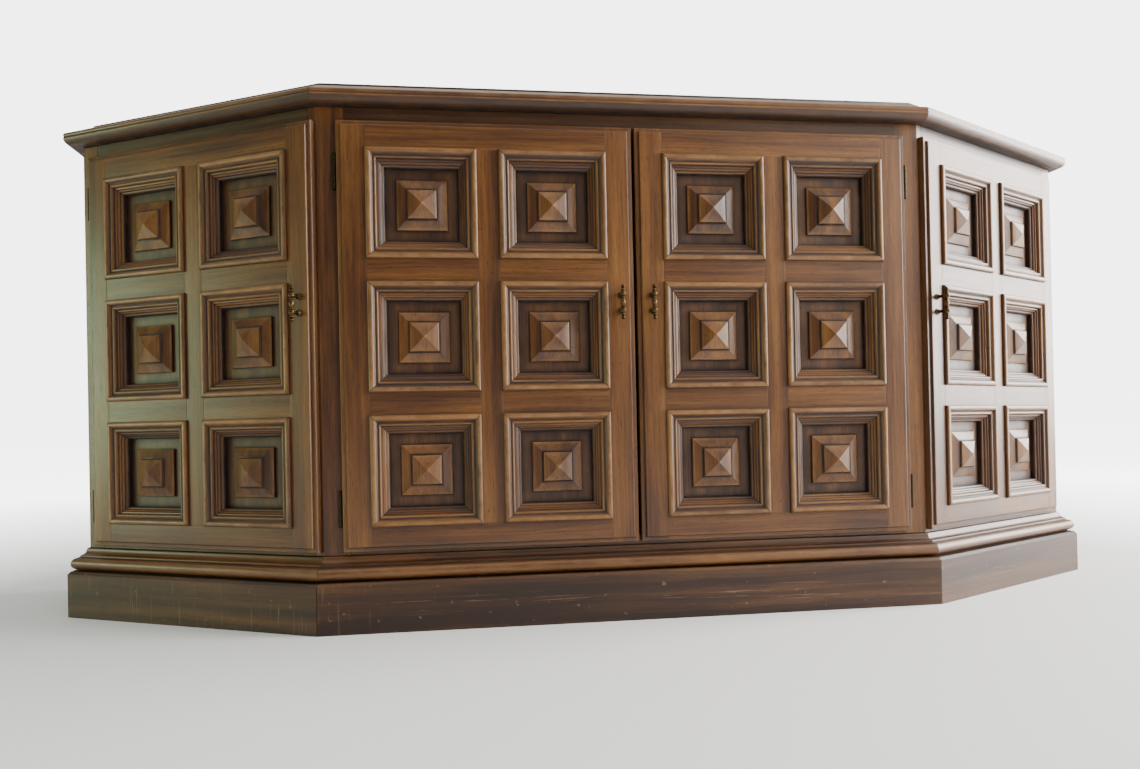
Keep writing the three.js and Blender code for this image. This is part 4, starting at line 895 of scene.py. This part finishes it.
def bezel():
    def loop(grow, y, corner):
        half_w, half_h = OPENING_HALF_WIDTH + grow, OPENING_HALF_HEIGHT + grow
        return rounded(half_w, half_h, OPENING_CORNER + corner * 0.6, BAFFLE_Y + y, 14)

    profile = [(2.0, -0.3), (15.0, -0.3), (15.0, -4.0), (14.6, -5.6), (13.2, -7.2), (11.0, -8.6), (9.0, -9.25),
               (6.4, -9.3), (4.6, -8.8), (3.2, -7.8), (1.4, -5.6), (-1.0, -3.4), (-4.6, -1.4), (-7.6, -0.4),
               (-7.9, 0)]
    shape = Shape().add(*ring_skin([loop(grow, y, max(grow, -8)) for grow, y in profile]))
    piece("moulded_screen_bezel", shape, BEZEL, slot="bezel_plastic", smooth=50, replaces=("screen_bezel",))
    line = ((9.6, -9.0), (9.6, -9.29), (7.0, -9.29), (7.0, -9.0))
    trim = Shape().add(*ring_skin([loop(grow, y, grow) for grow, y in line]))
    piece("bezel_bright_line", trim, TRIM, slot="bezel_plastic", smooth=50)


PANEL_FRONT = 0.3 + 7  # the control panel's gap and thickness


def knob_piece(name, radius):
    """A fluted skirt and a grip across it, with a pointer line."""
    lo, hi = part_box(name)
    x, z = (lo.x + hi.x) / 2 / MM, (lo.z + hi.z) / 2 / MM
    back = BAFFLE_Y - PANEL_FRONT - 0.6

    def squarer(value, power):
        return abs(value) ** power * math.copysign(1, value)

    profile = [(3, -18, 0), (3, 0, 0), (radius, 0.0, 0), (radius, 2.2, 0), (radius * 0.97, 3.0, 0),
               (radius * 0.80, 4.4, 0)]
    profile += [(radius * 0.72, 5.2, 1), (radius * 0.70, 9.0, 1), (radius * 0.68, 12.0, 1),
                (radius * 0.64, 13.0, 0.4)]
    profile += [(radius * 0.5, 12.7, 0), (0.02, 12.5, 0)]
    skirt = []
    for r, out, fluted in profile:
        ring = [(r * (1 + 0.022 * fluted * math.cos(a * 32)),
                 a) for a in (2 * math.pi * k / 96 for k in range(96))]
        skirt.append([(x + rr * math.cos(a), back - out, z + rr * math.sin(a)) for rr, a in ring])
    grip = []
    for out, wide, tall in ((11.0, 0.17, 0.66), (15.6, 0.15, 0.64), (16.7, 0.11, 0.61), (17.0, 0.06, 0.58)):
        ring = [(squarer(math.cos(a), 0.5), squarer(math.sin(a),
                0.35)) for a in (2 * math.pi * k / 32 for k in range(32))]
        grip.append([(x + radius * wide * c, back - out, z + radius * tall * s) for c, s in ring])
    shape = Shape().add(*skin(skirt)).add(*skin(grip))
    piece(f"{name}_fluted", shape, KNOB, name, "knob_plastic", smooth=35, replaces=(name,))
    ends = (x - 0.6, back - 17.0, z + radius * 0.28), (x + 0.6, back - 16.6, z + radius * 0.52)
    piece(f"{name}_pointer_line", Shape().add(*box_points(*ends)), PRINT, name, "knob_plastic")


def dial(name, centre, radius, labels, start, step):
    """Plain numbers and tick marks round a knob, as thin print on the panel."""
    base = Vector((centre[0], BAFFLE_Y - PANEL_FRONT - 0.02, centre[1]))
    shape = Shape()
    for k in range(len(labels) * 2 - 1):
        a = math.radians(start - step * k / 2)
        inner, outer = radius + 2.2, radius + (4.8 if k % 2 == 0 else 3.6)
        wide = 0.32 if k % 2 == 0 else 0.2
        d, s = Vector((math.cos(a), 0, math.sin(a))), Vector((-math.sin(a), 0, math.cos(a)))
        tick = ((inner, wide), (outer, wide), (outer, -wide), (inner, -wide))
        shape.add(*skin([[base + d * far + s * aside + Vector((0, e, 0)) for far, aside in tick] for e in (0.15,
                -0.06)]))
    reach = radius + 8.2
    for k, label in enumerate(labels):
        a = math.radians(start - step * k)
        curve = bpy.data.curves.new(f"{name}_{k}", "FONT")
        curve.body, curve.size, curve.extrude = label, 5.2 * MM, 0.04 * MM
        curve.align_x, curve.align_y = "CENTER", "CENTER"
        text = bpy.data.objects.new(f"{name}_{k}", curve)
        bpy.context.scene.collection.objects.link(text)
        bpy.context.view_layer.update()
        made = bpy.data.meshes.new_from_object(text.evaluated_get(bpy.context.evaluated_depsgraph_get()))
        bpy.data.objects.remove(text)
        spot = Vector((centre[0] + reach * math.cos(a), base.y, centre[1] + reach * math.sin(a)))
        points = [spot + Vector((v.co.x, -v.co.z, v.co.y)) / MM for v in made.vertices]
        shape.add(points, [tuple(f.vertices) for f in made.polygons])
        bpy.data.meshes.remove(made)
    return shape


DIALS = (("vhf", "vhf_channel_knob", 28.0, [str(k) for k in range(2, 14)], 90, 27.7),
         ("uhf", "uhf_channel_knob", 28.0, ["14", "20", "30", "40", "50", "60", "70", "83"], 90, 40),
         ("volume", "volume_knob", 13.0, ["0", "2", "4", "6", "8", "10"], 240, 60))


def controls():
    panel_low, panel_high = low("control_panel"), high("control_panel")
    plate = Shape().add(*box_points(panel_low, panel_high))
    piece("control_plate", plate, PANEL, slot="panel_metal", bevel=1.2, segments=3, replaces=("control_panel",))
    trim = Shape()
    inset, wide, y0 = 6.0, 1.1, panel_low.y
    x0, x1, z0, z1 = panel_low.x + inset, panel_high.x - inset, panel_low.z + inset, panel_high.z - inset
    lines = [(x0, z0, x1, z0 + wide), (x0, z1 - wide, x1, z1)]
    lines += [(x0, z0 + wide, x0 + wide, z1 - wide), (x1 - wide, z0 + wide, x1, z1 - wide)]
    for xa, za, xb, zb in lines:
        trim.add(*box_points((xa, y0 - 0.25, za), (xb, y0 + 0.2, zb)))
    for k in range(17):
        z = panel_low.z + 36 + k * 5.2
        trim.add(*box_points((x0 + 16, y0 - 0.55, z), (x1 - 16, y0 + 0.2, z + 1.6)))
    piece("control_plate_trim", trim, TRIM, slot="panel_metal", bevel=0.12)
    for _, knob, radius, *_ in DIALS:
        knob_piece(knob, radius)
    for word, knob, *marks in DIALS:
        centre = (CONTROL_X, (low(knob).z + high(knob).z) / 2)
        piece(f"{word}_dial_numbers", dial(f"{word}_dial", centre, *marks), PRINT, slot="panel_metal")


def speaker_grille():
    middle = (low("speaker") + high("speaker")) / 2
    centre = (middle.x, BAFFLE_Y - 0.2, middle.z)
    dome = ((1.0, 0.0), (1.0, 0.4), (0.9, 1.5), (0.5, 2.4), (0.02, 2.6))
    rings = [upright_ring(centre[0], centre[1] - out, centre[2], 68 * r, 37.5 * r, 64) for r, out in dome]
    cloth = Shape().add(*skin(rings))
    piece("speaker_cloth", cloth, GRILLE, slot="speaker_metal", smooth=60)
    lip = ((0, 0.0), (7.5, 0.0), (7.5, 1.6), (6.5, 3.2), (4.5, 4.2), (2.6, 4.0), (1.2, 2.8), (0, 1.6))
    rings = [upright_ring(centre[0], centre[1] - out, centre[2], 66 + grow, 35.5 + grow, 72) for grow,
             out in lip]
    rim = Shape().add(*ring_skin(rings))
    piece("speaker_ring", rim, TRIM, slot="speaker_metal", smooth=50)


# ---------------------------------------------------------------------------- back


def holed_plate(shape, x0, x1, z0, z1, y0, y1, holes):
    """A board with holes, each hole a loop of (x, z). Front and back are filled round the holes."""
    loops = [[(x0, z0), (x1, z0), (x1, z1), (x0, z1)], *holes]
    work = bmesh.new()
    for loop in loops:
        verts = [work.verts.new((x, y0, z)) for x, z in loop]
        for a, b in zip(verts, verts[1:] + verts[:1]):
            work.edges.new((a, b))
    bmesh.ops.triangle_fill(work, use_beauty=True, use_dissolve=False, edges=work.edges[:], normal=(0, 1, 0))
    work.verts.ensure_lookup_table()
    points = [tuple(v.co) for v in work.verts]
    tris = [tuple(v.index for v in f.verts) for f in work.faces]
    work.free()
    count = len(points)
    points += [(x, y1, z) for x, _, z in points]
    faces = [*tris, *[tuple(i + count for i in reversed(t)) for t in tris]]
    start = 0
    for loop in loops:
        n = len(loop)
        faces += [(start + k, start + (k + 1) % n, start + (k + 1) % n + count,
                   start + k + count) for k in range(n)]
        start += n
    shape.add(points, faces)


def slot_loop(x, z0, z1, half):
    """An upright slot with round ends, as a loop of (x, z)."""
    turns = [math.pi * k / 5 for k in range(6)]
    up = [(x + half * math.cos(a), z1 - half + half * math.sin(a)) for a in turns]
    return up + [(x - half * math.cos(a), z0 + half - half * math.sin(a)) for a in turns]


CUP_HOLE = 58  # radius of the hole that the tube's cup covers


def back_screws(name, spots):
    """Screw heads on the back, at spots of (x, z, turn of the slot)."""
    heads = Shape()
    for x, z, turn in spots:
        screw_head(heads, (x, BACK_Y, z), 4.2, 1, 1.9, turn)
    piece(name, heads, SCREW_STEEL, slot="chassis_steel", smooth=40)


def back():
    lo, hi = low("tv_back_cover"), high("tv_back_cover")
    z_low, z_high = CARCASS_BOTTOM, CARCASS_TOP
    holes = []
    for i in range(14):
        x = (i - 6.5) * 24 + 3
        holes += [slot_loop(x, z, z + 60, 3) for z in (z_high - 120, DECK_TOP + 60)]
    holes.append([(x, z) for x, _, z in upright_ring(SCREEN_X, 0, SCREEN_Z, CUP_HOLE, CUP_HOLE, 48)])
    shape = Shape()
    holed_plate(shape, lo.x, hi.x, z_low, z_high, low("left_back_panel").y, BACK_Y, holes)
    piece("vented_back_board", shape, HARDBOARD, slot="hardboard", replaces=("tv_back_cover",))
    profile = [(57, 0.3), (62, 0.2), (62, 3), (60.5, 5), (60, 12), (59.6, 30), (58.5, 37), (55, 40.6),
               (50, 41.9)]
    profile += [(20, 42), (19, 41.4), (0.02, 41.4)]
    cup = Shape().add(*skin([upright_ring(SCREEN_X, BACK_Y + d, SCREEN_Z, r, r, 64) for r, d in profile]))
    piece("tube_cup", cup, BLACK, slot="hardboard", smooth=45)
    rows = list(enumerate((z_low + 14, z_high - 12)))
    for word in ("left", "right"):
        panel_lo, panel_hi = low(f"{word}_back_panel"), high(f"{word}_back_panel")
        xs = [panel_lo.x + 12, (panel_lo.x + panel_hi.x) / 2, panel_hi.x - 12]
        spots = [(x, z, 0.5 + k + m * 2) for k, x in enumerate(xs) for m, z in rows]
        spots += [(xs[k], z, 1.1 * k + z) for k in (0, 2) for z in (z_low + 220, z_low + 420)]
        back_screws(f"{word}_back_panel_screws", spots)
    xs = [lo.x + 10 + k * (hi.x - lo.x - 20) / 4 for k in range(5)]
    back_screws("back_board_screws", [(x, z, 0.9 * k + m) for k, x in enumerate(xs) for m, z in rows])


# ---------------------------------------------------------------------------- carried-over CAD nodes


def finish_node(name, material, bevel):
    """Gives a CAD solid its material, closes its seams and eases its edges."""
    ob = frame["nodes"][name]
    ob.data.materials.clear()
    ob.data.materials.append(material)
    ob.data.polygons.foreach_set("material_index", [0] * len(ob.data.polygons))
    ob.modifiers.new("weld", "WELD").merge_threshold = 2e-5
    ease_edges(ob, bevel)


def carried_over():
    """The CAD solids that are kept, each with its material and the width of its eased edges."""
    finishes = [("plinth_front", PLINTH_FRONT_WALNUT, 0.8), ("plinth_left_cant", PLINTH_LEFT_WALNUT, 0.8),
                ("plinth_right_cant", PLINTH_RIGHT_WALNUT, 0.8), ("plinth_left_side", PLINTH_SIDE_WALNUT, 0.8),
                ("plinth_right_side", PLINTH_SIDE_WALNUT, 0.8), ("plinth_back", INSIDE, 0.8),
                ("bottom_board", RAIL_WALNUT, 0.5), ("front_top_rail", RAIL_WALNUT, 0.4)]
    for word, rail in (("left", LEFT_RAIL_WALNUT), ("right", RIGHT_RAIL_WALNUT)):
        finishes += [(f"{word}_corner_post", POST_WALNUT, 0.6), (f"{word}_side_panel", POST_WALNUT, 0.6),
                     (f"{word}_cant_top_rail", rail, 0.4), (f"{word}_partition", INSIDE_UPRIGHT, 0.5),
                     (f"{word}_shelf", INSIDE, 0.6), (f"{word}_back_panel", HARDBOARD, 0.3)]
    finishes += [("tv_baffle", BLACK, 0.5), ("speaker", SPEAKER, 0.3), ("tv_chassis", STEEL, 0.5)]
    for name, material, bevel in finishes:
        finish_node(name, material, bevel)


# ---------------------------------------------------------------------------- studio


BACKDROP_LEVEL = 5.0  # how bright the empty backdrop looks to the camera
FILL_LEVEL = 0.15  # how bright it is to the object


def studio():
    floor = bpy.data.meshes.new("floor")
    floor.from_pydata([(-40, -40, 0), (40, -40, 0), (40, 40, 0), (-40, 40, 0)], [], [(0, 1, 2, 3)])
    ob = bpy.data.objects.new("floor", floor)
    bpy.context.scene.collection.objects.link(ob)
    n = Nodes("pale_floor")
    cloud = n.noise(n.object_coords(), 0.7, detail=2)
    floor.materials.append(n.finish(n.mix(n.span(cloud, 0.3, 0.7), (0.80, 0.80, 0.795), (0.84, 0.84, 0.835)),
                                    0.75))
    # Far from the object the floor runs into the backdrop without a line.
    reach = n.node("ShaderNodeVectorMath", {0: n.object_coords()}, operation="LENGTH").outputs["Value"]
    seen = n.node("ShaderNodeLightPath").outputs["Is Camera Ray"]
    n.feed(n.shader.inputs["Emission Color"], (1, 1, 1))
    n.feed(n.shader.inputs["Emission Strength"], n.times(n.span(reach, 1.1, 3.6, 0.0, BACKDROP_LEVEL), seen))
    world = bpy.data.worlds.new("studio")
    bpy.context.scene.world = world
    world.use_nodes = True
    background = world.node_tree.nodes["Background"]
    background.inputs[0].default_value = (1.0, 1.0, 1.0, 1)
    seen = world.node_tree.nodes.new("ShaderNodeLightPath")
    level = world.node_tree.nodes.new("ShaderNodeMapRange")
    level.inputs["To Min"].default_value, level.inputs["To Max"].default_value = FILL_LEVEL, BACKDROP_LEVEL
    world.node_tree.links.new(seen.outputs["Is Camera Ray"], level.inputs["Value"])
    world.node_tree.links.new(level.outputs[0], background.inputs[1])

    def area(name, place, target, size, power, colour):
        light = bpy.data.lights.new(name, "AREA")
        light.shape, light.size, light.size_y = "RECTANGLE", *size
        light.energy, light.color = power, colour
        lamp = bpy.data.objects.new(name, light)
        lamp.location = place
        lamp.rotation_euler = (Vector(target) - Vector(place)).to_track_quat("-Z", "Y").to_euler()
        lamp.visible_camera = False
        bpy.context.scene.collection.objects.link(lamp)

    area("window_right", (3.5, -0.45, 1.38), (0.6, -0.1, 0.5), (2.9, 2.4), 490, (1.0, 0.985, 0.97))
    area("green_left", (-4.1, -0.40, 0.62), (-0.7, -0.1, 0.35), (1.3, 1.2), 47, (0.72, 1.0, 0.60))
    area("soft_front", (2.6, -4.0, 1.9), (0.2, 0, 0.4), (2.2, 2.2), 36, (1.0, 0.94, 0.88))
    area("ceiling", (0.0, 0.0, 4.5), (0, 0, 0), (9.0, 9.0), 330, (1.0, 0.99, 0.97))


# The camera, fitted to the photograph: its place in metres, its turn in radians and its lens in millimetres.
CAMERA_PLACE = (-0.2906, -1.5500, 0.2747)
YAW, PITCH, ROLL = 0.1461, 0.0063, -0.0209
SENSOR, LENS, SHIFT_UP = 36.0, 28.85, 0.0336


def camera():
    data = bpy.data.cameras.new("camera")
    data.sensor_width, data.lens, data.shift_y = SENSOR, LENS, SHIFT_UP
    ob = bpy.data.objects.new("camera", data)
    forward = Vector((math.sin(YAW) * math.cos(PITCH), math.cos(YAW) * math.cos(PITCH), math.sin(PITCH)))
    across = Vector((math.cos(YAW), -math.sin(YAW), 0))
    upward = across.cross(forward)
    right = math.cos(ROLL) * across + math.sin(ROLL) * upward
    up = -math.sin(ROLL) * across + math.cos(ROLL) * upward
    turn = Matrix((right, up, -forward)).transposed()
    ob.matrix_world = Matrix.Translation(CAMERA_PLACE) @ turn.to_4x4()
    bpy.context.scene.collection.objects.link(ob)
    bpy.context.scene.camera = ob


camera()
studio()
carried_over()
top()
base_moulding()
doors()
picture_tube()
bezel()
controls()
speaker_grille()
back()

bpy.context.view_layer.update()
